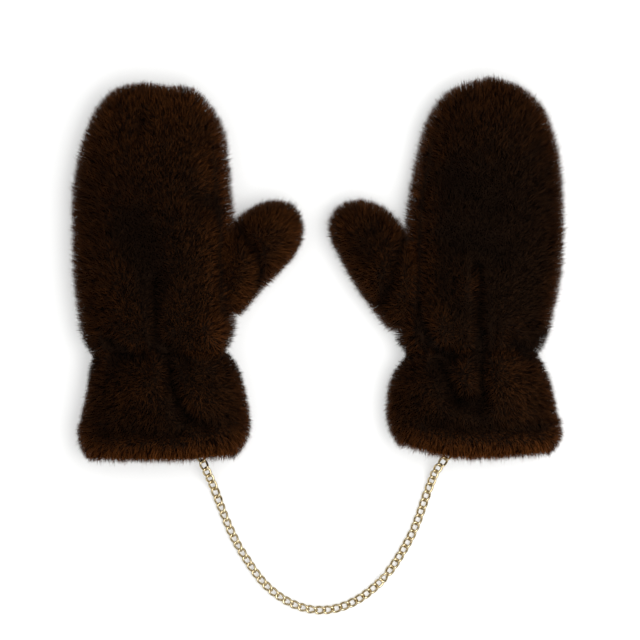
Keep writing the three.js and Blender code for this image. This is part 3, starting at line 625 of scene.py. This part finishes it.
# %% One hair, many times
HAIR_WIDTH = 0.27 * MM
BEND_WIDTH = 0.84  # a hair's width where it bends, as a share of its width at the root
BEND_PLACE = 0.55  # the run from the root to the bend, and again to the tip, as a share of the length
LEAN, LEAN_SWAY, SWIRL, STRAY = 0.27, 0.08, 0.1, 0.075
GUARD_SHARE, GUARD_LENGTH = 0.16, 1.27
LENGTH_JITTER, LENGTH_DRIFT = 0.06, 0.04  # from hair to hair, and from clump to clump
LIGHT_JITTER, LIGHT_DRIFT = 0.012, 0.03
SWAY_CLUMP, SWIRL_CLUMP, LENGTH_CLUMP, LIGHT_CLUMP = 16 * MM, 22 * MM, 6 * MM, 18 * MM
HAIR_SHARE = 1.0


def surface_frames(points):
    """Unit normals of a grid, from the cross product of its two directions, and the unit direction from
    row to row."""
    ahead = np.gradient(points, axis=0)
    around = np.gradient(points, axis=1)
    return unit(np.cross(ahead, around)), unit(ahead)


def scatter(points, values, density, count, rng):
    """Random places on a grid, evenly by area and weighted by a density, with the values interpolated
    there. A face is drawn in proportion to its area, and a place in it by two random shares."""
    p00, p10, p11, p01 = points[:-1, :-1], points[:-1, 1:], points[1:, 1:], points[1:, :-1]
    area = np.linalg.norm(np.cross(p11 - p00, p01 - p10), axis=-1) / 2
    weight = (area * density[:-1, :-1]).ravel()
    total = np.cumsum(weight)
    face = np.searchsorted(total, rng.random(count) * total[-1])
    row, column = np.divmod(np.minimum(face, weight.size - 1), area.shape[1])
    s, t = rng.random((2, count))

    def at(grid):
        a, b = grid[row, column], grid[row, column + 1]
        c, d = grid[row + 1, column + 1], grid[row + 1, column]
        u, v = (s, t) if grid.ndim == 2 else (s[:, None], t[:, None])
        return a * (1 - u) * (1 - v) + b * u * (1 - v) + c * u * v + d * (1 - u) * v

    return at(points), [at(value) for value in values]


def soft_noise(places, scale, rng, waves=7):
    """Smooth random values between about -1 and 1: a sum of sine waves in random directions."""
    ways = rng.normal(size=(waves, 3))
    ways /= np.linalg.norm(ways, axis=1, keepdims=True)
    phases = rng.random(waves) * 2 * math.pi
    stretch = 0.7 + 0.6 * rng.random(waves)
    ripples = ways * stretch[:, None] * 2 * math.pi / scale
    return np.sin(places @ ripples.T + phases).mean(axis=1) * math.sqrt(waves) / 1.3


def grow_pile(name, mitten, skin, count, rng):
    """A mesh of blades on a skin. Each blade has two root corners, two middle corners and a tip."""
    points, normals, nap, height, light, density = skin
    count = int(count * HAIR_SHARE)
    roots, values = scatter(points, [normals, nap, height, light], density, count, rng)
    normal, lean, reach, bright = values
    normal = unit(normal)
    side = unit(np.cross(normal, lean))
    sway = soft_noise(roots, SWAY_CLUMP, rng)
    swirl = soft_noise(roots, SWIRL_CLUMP, rng)
    guard = rng.random(count) < GUARD_SHARE
    uneven = LENGTH_JITTER * rng.normal(size=count)
    uneven = uneven + LENGTH_DRIFT * soft_noise(roots, LENGTH_CLUMP, rng)
    length = np.clip(HAIR_REACH * reach * (1 + uneven), 0.5 * reach, 1.6 * reach)
    length = length * np.where(guard, GUARD_LENGTH, 1)
    bend = lean * (LEAN + LEAN_SWAY * sway)[:, None] + side * (SWIRL * swirl)[:, None]
    stray = STRAY * rng.normal(size=(count, 3))
    rise = unit(normal + 0.45 * bend + stray)
    fall = unit(normal * 0.85 + 1.2 * bend + 1.6 * stray)
    run = (BEND_PLACE * length)[:, None]
    middle = roots + rise * run
    tip = middle + fall * run
    across = unit(np.cross(fall, rng.normal(size=(count, 3))))
    root_half = across * (HAIR_WIDTH / 2)
    bend_half = BEND_WIDTH * root_half
    blade = [roots - root_half, roots + root_half, middle - bend_half, middle + bend_half, tip]
    corners = place_in_pair(mitten, np.stack(blade, axis=1))
    corners[..., 2] = np.maximum(corners[..., 2], SURFACE_CLEARANCE + 0.2 * MM * rng.random((count, 1)))
    first = 5 * np.arange(count)[:, None]
    faces = np.concatenate([first + [0, 1, 3], first + [0, 3, 2], first + [2, 3, 4]], axis=1).reshape(-1, 3)
    along = np.tile([0.0, 0.0, BEND_PLACE, BEND_PLACE, 1.0], (count, 1))
    bright = bright + LIGHT_JITTER * rng.normal(size=count)
    bright = bright + LIGHT_DRIFT * soft_noise(roots, LIGHT_CLUMP, rng)
    lightness = np.repeat(np.clip(bright, 0, 1)[:, None], 5, axis=1)
    made = make_mesh(
        name, corners.reshape(-1, 3), faces, pile,
        attributes={"along_hair": along, "lightness": lightness},
    )
    shine = unit(normal + 0.18 * fall + 0.05 * rng.normal(size=(count, 3)))
    shine = shine * np.array([mitten["mirror"], 1, 1])
    made.data.normals_split_custom_set_from_vertices(np.repeat(shine, 5, axis=0))
    print(name, count, "hairs")
    return made


# %% [markdown]
# ## The hand
# The hand is two fur panels with a seam between them, which shows on top along the thumb side. Each panel
# is a closed skin: the underfur outside, the backing inside, and the two joined at the wrist and at the
# tip. The pile grows on the outer face only.


# %% Hand panels
HAND_STEPS, PANEL_COLUMNS = 96, 64
SEAM_VALLEY, SEAM_REACH = 3.4 * MM, 2.8 * MM
BAND_PLACE, BAND_REACH, BAND_LIGHT = 8.5 * MM, 5.5 * MM, 0.16  # the lighter bands beside the seam
# WRIST_LIGHT is painted light: the hairs at the elastic are painted lighter.
WRIST_LIGHT, WRIST_REACH = 0.08, 16 * MM  # the hairs at the elastic stand apart, and let light in
VALLEY_TRIM, WRIST_TRIM, SEAM_TRIM, TIP_TRIM = 0.4, 0.35, 0.55, 0.17  # how much shorter the pile is
# TIP_LIGHT is a painted sheen, lighter towards the fingertip. PALM_LIGHT makes the palm lighter than the
# back: painted light on the band of palm that shows along the sides.
PALM_LIGHT, TIP_LIGHT = 0.5, 0.17
# RIM_LIGHT is painted rim light towards the outline, VALLEY_SHADE painted shade in valleys, SWELL_LIGHT a
# painted highlight on swells.
RIM_LIGHT, VALLEY_SHADE, SWELL_LIGHT = 1.3, 0.34, 0.45


def tip_dip(mitten, points):
    """Draws the fingertip edge in by a bell curve about one place across it."""
    across, width, depth = mitten["tip"]
    away = (points[..., 0] - across * HAND_WIDTH / 2) / (width * HAND_WIDTH)
    fade = smooth_step(points[..., 1] / HAND_LENGTH, 0.85, 0.97)
    dipped = points.copy()
    dipped[..., 1] -= depth * SIDE_WALL * bell(away) * fade
    return dipped


def seam_distance(points, lower):
    """How far each point lies from the seam, along its own section."""
    run = running_length(points)
    return run[:, -1:] - run if lower else run


def pile_height(points, depth, seam=0.0):
    """The length of the pile: full above, short where it is pressed under the mitten, in valleys, on a
    seam and at the elastic."""
    low = np.clip((points[..., 2] - 3 * MM) / (8 * MM), 0, 1)
    reach = PRESSED_PILE + (PILE - PRESSED_PILE) * low
    reach *= 1 - VALLEY_TRIM * np.clip(depth / (5 * MM), 0, 1)
    reach *= 1 - WRIST_TRIM * bell(points[..., 1] / (9 * MM))
    return reach * (1 - SEAM_TRIM * seam)


def crowding(points, least):
    """How densely the hairs grow: fully above, and down to the least share beneath."""
    return np.clip((points[..., 2] - 2 * MM) / (6 * MM), least, 1)


def nap(points):
    """How strongly the hairs lean away from the wrist: hardly at the elastic, and fully from 30 mm on."""
    return (0.05 + 0.95 * smooth_step(np.abs(points[..., 1]), 0, 30 * MM))[..., None]


def lit(points, normals, depth, base):
    """How light the hairs are painted: a base, painted rim light towards the outline except at the wrist,
    painted shade in valleys, and a little painted highlight on swells."""
    rim = np.clip(1 - np.abs(normals[..., 2]), 0, 1) ** 1.6
    rim *= smooth_step(np.abs(points[..., 1]), 6 * MM, 34 * MM)
    shade = np.clip(depth / (3.5 * MM), -1.6, 1)
    shade = np.where(shade < 0, SWELL_LIGHT * shade, shade)
    return np.clip(base + RIM_LIGHT * (0.95 - base) * rim - VALLEY_SHADE * shade, 0, 1)


def hand_panel(side, mitten, lower):
    """One panel's skin and pile."""
    rows = sections(mitten["hand"], HAND_LENGTH, HAND_WIDTH, HAND_CREST, BELLY, HAND_STEPS, closed_tip=True)
    under = pared(rows, HAND_LENGTH, PILE, PILE, PRESSED_PILE, PILE)
    inner = pared(rows, HAND_LENGTH, SIDE_WALL, TOP_WALL, UNDER_WALL, SIDE_WALL)
    turns = panel_turns(rows, MIDDLE_LEVEL, PANEL_COLUMNS, lower)
    outer = loop_points(under, turns, MIDDLE_LEVEL, PRESSED_PILE)
    pleats = gather_depth(mitten, outer, turns)
    folds = fold_depth(mitten["folds"], outer, HAND_WIDTH, HAND_LENGTH, CUFF_LENGTH)
    outer, depth = press(folds + pleats, outer, turns, MIDDLE_LEVEL)
    outer = tip_dip(mitten, outer)
    normals, ahead = surface_frames(outer)
    to_seam = seam_distance(outer, lower)
    along = outer[..., 1] / HAND_LENGTH
    fade = smooth_step(along, 0.84, 0.7) * smooth_step(along, 0.08, 0.22)
    seam = bell(to_seam / SEAM_REACH) * fade * mitten["seam"]
    outer = outer - normals * (SEAM_VALLEY * seam)[..., None]
    parted = np.gradient(outer, axis=1) * (-1 if lower else 1)
    ahead = ahead * nap(outer) + 2.2 * seam[..., None] * unit(parted)
    normals = surface_frames(outer)[0]
    lining = loop_points(inner, turns, MIDDLE_LEVEL, UNDER_WALL)
    shell = np.concatenate([outer, lining[:, ::-1]], axis=1)
    faces = grid_faces(HAND_STEPS, 2 * PANEL_COLUMNS, wrap_columns=True)
    outside = np.arange(PANEL_COLUMNS - 1)
    inside = 2 * PANEL_COLUMNS - 1 - outside
    wrist_end = np.stack([outside, inside, inside - 1, outside + 1], axis=1)
    faces = np.concatenate([faces, wrist_end])
    skin = make_mesh(
        f"{side}_{'palm' if lower else 'back'}_underfur",
        place_in_pair(mitten, shell.reshape(-1, 3)),
        faces[:, ::-1] if mitten["mirror"] > 0 else faces,
        underfur,
        merge=True,
    )
    reach = pile_height(outer, depth, seam) * (1 - TIP_TRIM * smooth_step(along, 0.86, 0.98))
    light = lit(outer, normals, depth, PALM_LIGHT if lower else mitten["light"])
    # Painted shade along the seam, and a painted sheen towards the fingertip.
    light = light * (1 - 0.85 * seam) + TIP_LIGHT * smooth_step(along, 0.6, 0.98)
    light += BAND_LIGHT * bell((to_seam - BAND_PLACE) / BAND_REACH) * fade
    # Painted light on the hairs at the elastic.
    light += WRIST_LIGHT * bell(outer[..., 1] / WRIST_REACH)
    return skin, (outer, normals, ahead, reach, light, crowding(outer, 0.22))


# %% [markdown]
# ## The cuff
# The cuff flares from the wrist to a thick rounded hem, where the fur is turned over the edge. Its grid
# runs down the outside, round the lip and back up the inside, and closes on itself at the wrist. The pile
# covers the outside and the lip, and is painted lighter along the hem: painted light.


# %% Cuff
CUFF_STEPS, LIP_STEPS, CUFF_COLUMNS = 60, 14, 120
LIP_BULGE = 2.5 * MM
FOLD_END = 8  # the folds fade out from this many steps before the lip
# From HEM_START the hairs are painted lighter towards the hem: painted light.
HEM_START, HEM_SPAN = 0.64 * CUFF_LENGTH, 0.3 * CUFF_LENGTH  # where the fur grows lighter towards the hem
CUFF_LIGHT, HEM_LIGHT = 0.38, 0.56
SIDE_TRIM = 0.18
UNDER_CROWD, LIP_CROWD, INNER_CROWD = 0.35, 1.7, 0.6  # the density beneath, on the lip and inside it


def hem_rise(mitten, points):
    """Lifts the hem's corners: the rise grows with the square of the distance from the middle, and with the
    distance from the wrist."""
    near, far = mitten["hem_rise"]
    share = points[..., 0] / (CUFF_WIDTH / 2)
    rise = np.where(share > 0, near, far) * CUFF_LENGTH * share**2
    lifted = points.copy()
    lifted[..., 1] += rise * np.clip(-points[..., 1] / CUFF_LENGTH, 0, 1)
    return lifted


def cuff(side, mitten):
    """The cuff's skin and pile."""
    rows = sections(mitten["cuff"], CUFF_LENGTH, CUFF_WIDTH, CUFF_CREST, BELLY, CUFF_STEPS)
    outer = pared(rows, CUFF_LENGTH, PILE, PILE, PRESSED_PILE, PILE)
    inner = pared(rows, CUFF_LENGTH, SIDE_WALL, TOP_WALL, UNDER_WALL, PILE)
    widest = int(np.argmax(inner[:, 1] + inner[:, 2]))
    inner[widest:, 1:] = inner[widest, 1:]
    bend = np.linspace(0, math.pi, LIP_STEPS)[1:-1, None]
    lip = outer[-1] + (inner[-1] - outer[-1]) * (1 - np.cos(bend)) / 2
    lip[:, 0] += LIP_BULGE * np.sin(bend[:, 0])
    inner = inner[::-4]
    whole = np.vstack([outer, lip, inner])
    whole[:, 0] *= -1
    angles = np.linspace(0, 2 * math.pi, CUFF_COLUMNS, endpoint=False)
    turns = angles[None, :] + np.zeros((len(whole), 1))
    points = loop_points(whole, turns, MIDDLE_LEVEL, PRESSED_PILE)
    covered = CUFF_STEPS + len(lip)
    pleats = gather_depth(mitten, points[:covered], turns[:covered])
    folds = fold_depth(mitten["folds"], points[:covered], HAND_WIDTH, HAND_LENGTH, CUFF_LENGTH)
    pressed, depth = press(folds + pleats, points[:covered], turns[:covered], MIDDLE_LEVEL)
    fade = np.ones(covered)
    fade[CUFF_STEPS - FOLD_END:] = np.linspace(1, 0, len(lip) + FOLD_END)
    points[:covered] = points[:covered] + (pressed - points[:covered]) * fade[:, None, None]
    level = np.full(len(whole), UNDER_WALL)
    level[:CUFF_STEPS] = PRESSED_PILE
    level[CUFF_STEPS:covered] = np.linspace(PRESSED_PILE, UNDER_WALL, len(lip))
    points[..., 2] = np.maximum(points[..., 2], level[:, None])
    points = hem_rise(mitten, points)
    skin = make_mesh(
        f"{side}_cuff_underfur",
        place_in_pair(mitten, points.reshape(-1, 3)),
        grid_faces(len(points), CUFF_COLUMNS, wrap_columns=True, wrap_rows=True, flip=mitten["mirror"] < 0),
        underfur,
    )
    closed = closed_round(points[:covered])
    normals, ahead = surface_frames(closed)
    normals = -normals
    ahead = ahead * nap(closed)
    depth = closed_round(depth)
    reach = pile_height(closed, depth * fade[:, None]) * (1 - SIDE_TRIM * normals[..., 0] ** 2)
    hem = np.clip((-closed[..., 1] - HEM_START) / HEM_SPAN, 0, 1)
    # Painted light along the hem and at the elastic.
    light = lit(closed, normals, depth, CUFF_LIGHT) + HEM_LIGHT * hem
    light += WRIST_LIGHT * bell(closed[..., 1] / WRIST_REACH)
    density = crowding(closed, UNDER_CROWD)
    edge = CUFF_STEPS + len(lip) // 2
    density[CUFF_STEPS - 2:edge] *= LIP_CROWD
    density[edge:] *= INNER_CROWD
    return skin, (closed, normals, ahead, reach, light, density)


# %% [markdown]
# ## The thumb
# The thumb is sewn into the side of the hand and lies beside it. It is lofted along its own line, then
# turned and moved to its root. What lies inside the hand is hidden, so no hair grows there. A fold
# crosses it where its seam is, pressed in, and with its hairs painted darker as painted shade.


# %% Thumb
THUMB_STEPS, THUMB_COLUMNS = 60, 72
THUMB_LIGHT = 0.48
BURIED, BURIED_FADE = 0.86, 0.1  # hand values up to which the thumb is bare, and over which its fur begins


def hand_value(mitten, points):
    """Below 1 inside the hand and above 1 outside it: the superellipse's own sum of powers at each
    point."""
    table = mitten["hand"]
    along = points[..., 1] / HAND_LENGTH
    far, near, up, down = (np.interp(along, table[:, 0], table[:, k]) for k in (1, 2, 3, 4))
    centre = (near - far) / 2 * HAND_WIDTH / 2
    half = np.maximum((near + far) / 2 * HAND_WIDTH / 2, 1e-4)
    x = np.abs(points[..., 0] - centre) / half
    z = points[..., 2] - MIDDLE_LEVEL
    above = x**CREST_FULLNESS + (np.maximum(z, 0) / (up * HAND_CREST + 1e-4)) ** CREST_FULLNESS
    below = x**BELLY_FULLNESS + (np.maximum(-z, 0) / (down * BELLY + 1e-4)) ** BELLY_FULLNESS
    return np.where(z >= 0, above, below)


def thumb(side, mitten):
    """The thumb's skin and pile."""
    measures = THUMB_LENGTH, THUMB_WIDTH, THUMB_CREST, THUMB_BELLY
    rows = sections(mitten["thumb"], *measures, THUMB_STEPS, closed_tip=True)
    outer = pared(rows, THUMB_LENGTH, PILE, PILE, PRESSED_PILE, PILE)
    inner = pared(rows, THUMB_LENGTH, SIDE_WALL, TOP_WALL, UNDER_WALL, SIDE_WALL)
    angles = np.linspace(0, 2 * math.pi, THUMB_COLUMNS, endpoint=False)
    turns = angles[None, :] + np.zeros((THUMB_STEPS, 1))
    points = loop_points(outer, turns, THUMB_LEVEL, PRESSED_PILE)
    folds = fold_depth(mitten["thumb_folds"], points, THUMB_WIDTH, THUMB_LENGTH, THUMB_LENGTH)
    points, depth = press(folds, points, turns, THUMB_LEVEL)
    inside = loop_points(inner, turns, THUMB_LEVEL, UNDER_WALL)[::-3]
    cosine, sine = math.cos(THUMB_ANGLE), math.sin(THUMB_ANGLE)
    rotation = np.array([[cosine, -sine, 0], [sine, cosine, 0], [0, 0, 1]])
    root = np.array([*mitten["thumb_root"], 0]) * np.array([HAND_WIDTH / 2, HAND_LENGTH, 0])
    points, inside = points @ rotation + root, inside @ rotation + root
    shell = np.concatenate([points, inside])
    skin = make_mesh(
        f"{side}_thumb_underfur",
        place_in_pair(mitten, shell.reshape(-1, 3)),
        grid_faces(len(shell), THUMB_COLUMNS, wrap_columns=True, wrap_rows=True, flip=mitten["mirror"] > 0),
        underfur,
        merge=True,
    )
    closed = closed_round(points)
    normals, ahead = surface_frames(closed)
    depth = closed_round(depth)
    # Taken as if far from the wrist, so that the thumb's pile is not trimmed as at the elastic and keeps
    # its full painted rim light.
    far_off = closed + np.array([0, 1, 0])  # away from the wrist, whose hairs are shorter and lighter
    reach = pile_height(far_off, depth)
    light = lit(far_off, normals, depth, THUMB_LIGHT)
    outside = np.clip((hand_value(mitten, closed) - BURIED) / BURIED_FADE, 0, 1)
    return skin, (closed, normals, ahead, reach, light, crowding(closed, UNDER_CROWD) * outside)


# %% Both mittens
HAIRS = {"back": 46000, "palm": 24000, "thumb": 20000, "cuff": 42000}
for side, mitten in MITTENS.items():
    rng = np.random.default_rng(mitten["seed"])
    built = {
        "back": (hand_panel(side, mitten, False), f"{side}_back_panel"),
        "palm": (hand_panel(side, mitten, True), f"{side}_palm_panel"),
        "thumb": (thumb(side, mitten), f"{side}_thumb"),
        "cuff": (cuff(side, mitten), f"{side}_cuff"),
    }
    for part, ((skin, patch), node) in built.items():
        fur = grow_pile(f"{side}_{part}_pile", mitten, patch, HAIRS[part], rng)
        for piece in (skin, fur):
            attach(piece, "root")
            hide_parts(node)

# %% [markdown]
# ## The chain
# A curb chain is made of oval wire links, each twisted so that its sides rise and dip and the whole chain
# lies flat. It is plated brass in a light gold. Its line is the catenary of the solid model, lying on the
# surface, climbing over each hem and ending inside the cuff. The links are one curve's tube, repeated at
# equal steps. The wire is 0.2 mm thicker than the solid model's, which is nearer to the photograph.

# %% Chain sizes
LINK_PITCH, CHAIN_WIDTH, LINK_WIRE = 6.2 * MM, 6.8 * MM, 1.8 * MM
LINK_TWIST, LINK_FUSE = 1.1 * MM, 0.3 * MM
ROLL_JITTER, CHAIN_SEED = math.radians(5), 5
CHAIN_DROP, CHAIN_INSET, CHAIN_DESCENT, CHAIN_CLEARANCE = 124 * MM, 12 * MM, 26 * MM, 0.4 * MM
PATCH_TOP = UNDER_WALL + 0.3 * MM + 1.2 * MM  # a small gap, and the thickness of the tape
ANCHOR_LEVEL = PATCH_TOP + CHAIN_CLEARANCE + LINK_TWIST + LINK_WIRE / 2
LINK_HALF_WIDTH = (CHAIN_WIDTH - LINK_WIRE) / 2
# Columns: share of the chain's length from the left-hand cuff, roll about its own line in degrees.
CHAIN_ROLL = np.array([
    (0, 0),
    (0.08, 0),
    (0.16, 24),
    (0.46, 24),
    (0.58, 4),
    (0.64, -4),
    (0.66, 46),
    (0.68, -6),
    (0.9, -8),
    (0.96, 0),
    (1, 0),
])
# Columns: share of the chain's length, how far it has slid sideways from its catenary as a share of its
# span.
CHAIN_DRIFT = np.array([
    (0, 0),
    (0.03, 0),
    (0.1, 0.0065),
    (0.27, -0.0033),
    (0.38, -0.0129),
    (0.66, -0.0137),
    (0.76, -0.018),
    (0.9, -0.0319),
    (0.925, -0.0315),
    (0.985, 0),
    (1, 0),
])


# %% The chain's line
def anchor_place(side):
    """Where the chain's end is held, inside the cuff."""
    mitten = MITTENS[side]
    across = mitten["chain_across"] * CUFF_WIDTH / 2
    return mitten["wrist"][:2] + np.array([mitten["mirror"] * across, CHAIN_INSET - CUFF_LENGTH])


def catenary_for(half_span, drop):
    """The catenary's parameter c for which c * (cosh(half span / c) - 1) is the drop, by halving an
    interval."""
    low, high = half_span / 50, half_span * 50
    for _ in range(60):
        middle = (low + high) / 2
        hangs = middle * (math.cosh(half_span / middle) - 1) > drop
        low, high = (middle, high) if hangs else (low, middle)
    return (low + high) / 2


def eased(table, share):
    """A table's value at each share, eased from row to row."""
    index = np.clip(np.searchsorted(table[:, 0], share), 1, len(table) - 1)
    low, high = table[index - 1], table[index]
    blend = smooth_step(share, low[:, 0], high[:, 0])
    return low[:, 1] + (high[:, 1] - low[:, 1]) * blend


def chain_roll(share):
    """The roll about the chain's own line, in radians."""
    return np.radians(eased(CHAIN_ROLL, share))


def chain_line(share):
    """Points of the chain's line: x from the arc length of the catenary, y from its height, z from the
    roll of the links that lie on the surface, raised towards the two anchors."""
    start, end = anchor_place("left"), anchor_place("right")
    half_span = (end[0] - start[0]) / 2
    c = catenary_for(half_span, CHAIN_DROP)
    flat = 2 * c * math.sinh(half_span / c)
    x = c * np.arcsinh((share - 0.5) * flat / c)
    y = c * (np.cosh(x / c) - 1) - CHAIN_DROP
    roll = np.abs(chain_roll(share))
    lying = LINK_HALF_WIDTH * np.sin(roll) + LINK_TWIST * np.cos(roll) + LINK_WIRE / 2 + CHAIN_CLEARANCE
    from_end = np.minimum(share, 1 - share) * flat
    descent = smooth_step(from_end, CHAIN_INSET + 2 * MM, CHAIN_INSET + CHAIN_DESCENT)
    x = x + (start[0] + end[0]) / 2 + 2 * half_span * eased(CHAIN_DRIFT, share)
    y = y + start[1] + (end[1] - start[1]) * share
    z = ANCHOR_LEVEL + (lying - ANCHOR_LEVEL) * descent
    return np.stack([x, y, z], axis=1)


fine_share = np.linspace(0, 1, 2001)
fine_line = chain_line(fine_share)
fine_run = np.concatenate([[0], np.cumsum(np.linalg.norm(np.diff(fine_line, axis=0), axis=1))])
LINK_COUNT = round(fine_run[-1] / LINK_PITCH)
LINK_SPACING = fine_run[-1] / LINK_COUNT
print("chain", round(fine_run[-1], 4), "m,", LINK_COUNT, "links")

# %% [markdown]
# Plating over brass gives a bright, slightly warm mirror with tiny scratches. A metal takes its colour
# from its reflections, so the base colour is the pale gold of the highlights.

# %% Gold plating
SCRATCH_GRAIN = 0.6 * MM
gold, tree = new_material("light_gold_plated_brass")
where = add_node(tree, "TexCoord").outputs["Object"]
wear = add_node(tree, "TexNoise", {"Vector": where, "Scale": 1 / SCRATCH_GRAIN, "Detail": 2.0})
gold_colour = ramp(tree, wear.outputs["Fac"], [(0.3, "#B8A684"), (0.7, "#D2C39E")])
wear_range = {"Value": wear.outputs["Fac"], "From Min": 0.3, "From Max": 0.7}
gloss_range = {"To Min": 0.12, "To Max": 0.24}
shade_surface(tree, {
    "Base Color": gold_colour,
    "Metallic": 1.0,
    "Roughness": add_node(tree, "MapRange", wear_range | gloss_range).outputs["Result"],
})

# %% Links
LINK_STEPS, WIRE_SIDES = 36, 8
END_LINK_HEIGHT = 0.6  # the two hidden end links are flattened, to pass under the anchors' loops


def link_tube(reach):
    """A link's wire as a tube: its line is x = reach * cos, y = half width * sin, z = twist * sin of
    twice the turn, and each ring stands square to the line, worked out from the line's slope and the
    upward direction."""
    turn = np.linspace(0, 2 * math.pi, LINK_STEPS, endpoint=False)
    scale = np.array([reach, LINK_HALF_WIDTH, LINK_TWIST])
    line = np.stack([np.cos(turn), np.sin(turn), np.sin(2 * turn)], axis=1) * scale
    slope = unit(np.stack([-np.sin(turn), np.cos(turn), 2 * np.cos(2 * turn)], axis=1) * scale)
    outward = unit(np.cross(slope, [0, 0, 1]))
    upward = np.cross(outward, slope)
    around = np.linspace(0, 2 * math.pi, WIRE_SIDES, endpoint=False)[:, None]
    ring = outward[:, None] * np.cos(around) + upward[:, None] * np.sin(around)
    return line[:, None] + ring * LINK_WIRE / 2


def chain_mesh():
    """Every link's points at once: the tube is rolled, turned along the line and moved to each link's
    place."""
    middles = (np.arange(LINK_COUNT) + 0.5) * LINK_SPACING
    share = np.interp(middles, fine_run, fine_share)
    place = chain_line(share)
    nearby = 1e-4
    ahead = unit(chain_line(share + nearby) - chain_line(share - nearby))
    sideways = unit(np.cross([0, 0, 1], ahead))
    upward = np.cross(ahead, sideways)
    roll = chain_roll(share)
    jitter = np.random.default_rng(CHAIN_SEED).normal(size=LINK_COUNT) * ROLL_JITTER
    roll = roll + jitter * smooth_step(np.minimum(share, 1 - share), 0.05, 0.12)
    cosine, sine = np.cos(roll)[:, None], np.sin(roll)[:, None]
    rolled_side = sideways * cosine + upward * sine
    rolled_up = upward * cosine - sideways * sine
    basis = np.stack([ahead, rolled_side, rolled_up], axis=1)
    tube = link_tube((LINK_SPACING + LINK_WIRE - LINK_FUSE) / 2).reshape(-1, 3)
    flattened = np.ones((LINK_COUNT, 1, 3))
    flattened[[0, -1], :, 2] = END_LINK_HEIGHT
    points = np.einsum("npa,nax->npx", tube * flattened, basis) + place[:, None]
    lowest = points[..., 2].min(axis=1, keepdims=True)
    points[..., 2] += np.maximum(SURFACE_CLEARANCE - lowest, 0)
    one = grid_faces(LINK_STEPS, WIRE_SIDES, wrap_columns=True, wrap_rows=True)
    faces = (one[None] + (np.arange(LINK_COUNT) * len(tube))[:, None, None]).reshape(-1, 4)
    return make_mesh("curb_chain", points.reshape(-1, 3), faces, gold)


chain = chain_mesh()
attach(chain, "root")
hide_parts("chain")

# %% [markdown]
# ## The anchors
# A hidden patch of tape with a thread loop holds each end of the chain inside the cuff. The solid model's
# own shape is right for it, so it only gets its material: cotton tape, woven fine and matt.

# %% Tape
THREAD_SPACING = 0.5 * MM
tape, tree = new_material("cotton_tape")
where = add_node(tree, "TexCoord").outputs["Object"]
threads = {"Vector": where, "Scale": 1 / (THREAD_SPACING * 2 * math.pi), "Distortion": 0.4}
weave = add_node(tree, "TexWave", threads)
tape_colour = ramp(tree, weave.outputs["Fac"], [(0.2, "#0D0805"), (0.8, "#22160E")])
thread_relief = {"Height": weave.outputs["Fac"], "Strength": 0.4, "Distance": 0.1 * MM}
shade_surface(tree, {
    "Base Color": tape_colour,
    "Roughness": 0.85,
    "Normal": add_node(tree, "Bump", thread_relief).outputs["Normal"],
})
for side in MITTENS:
    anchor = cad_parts[f"{side}_chain_anchor"]
    anchor.data.materials.clear()
    anchor.data.materials.append(tape)
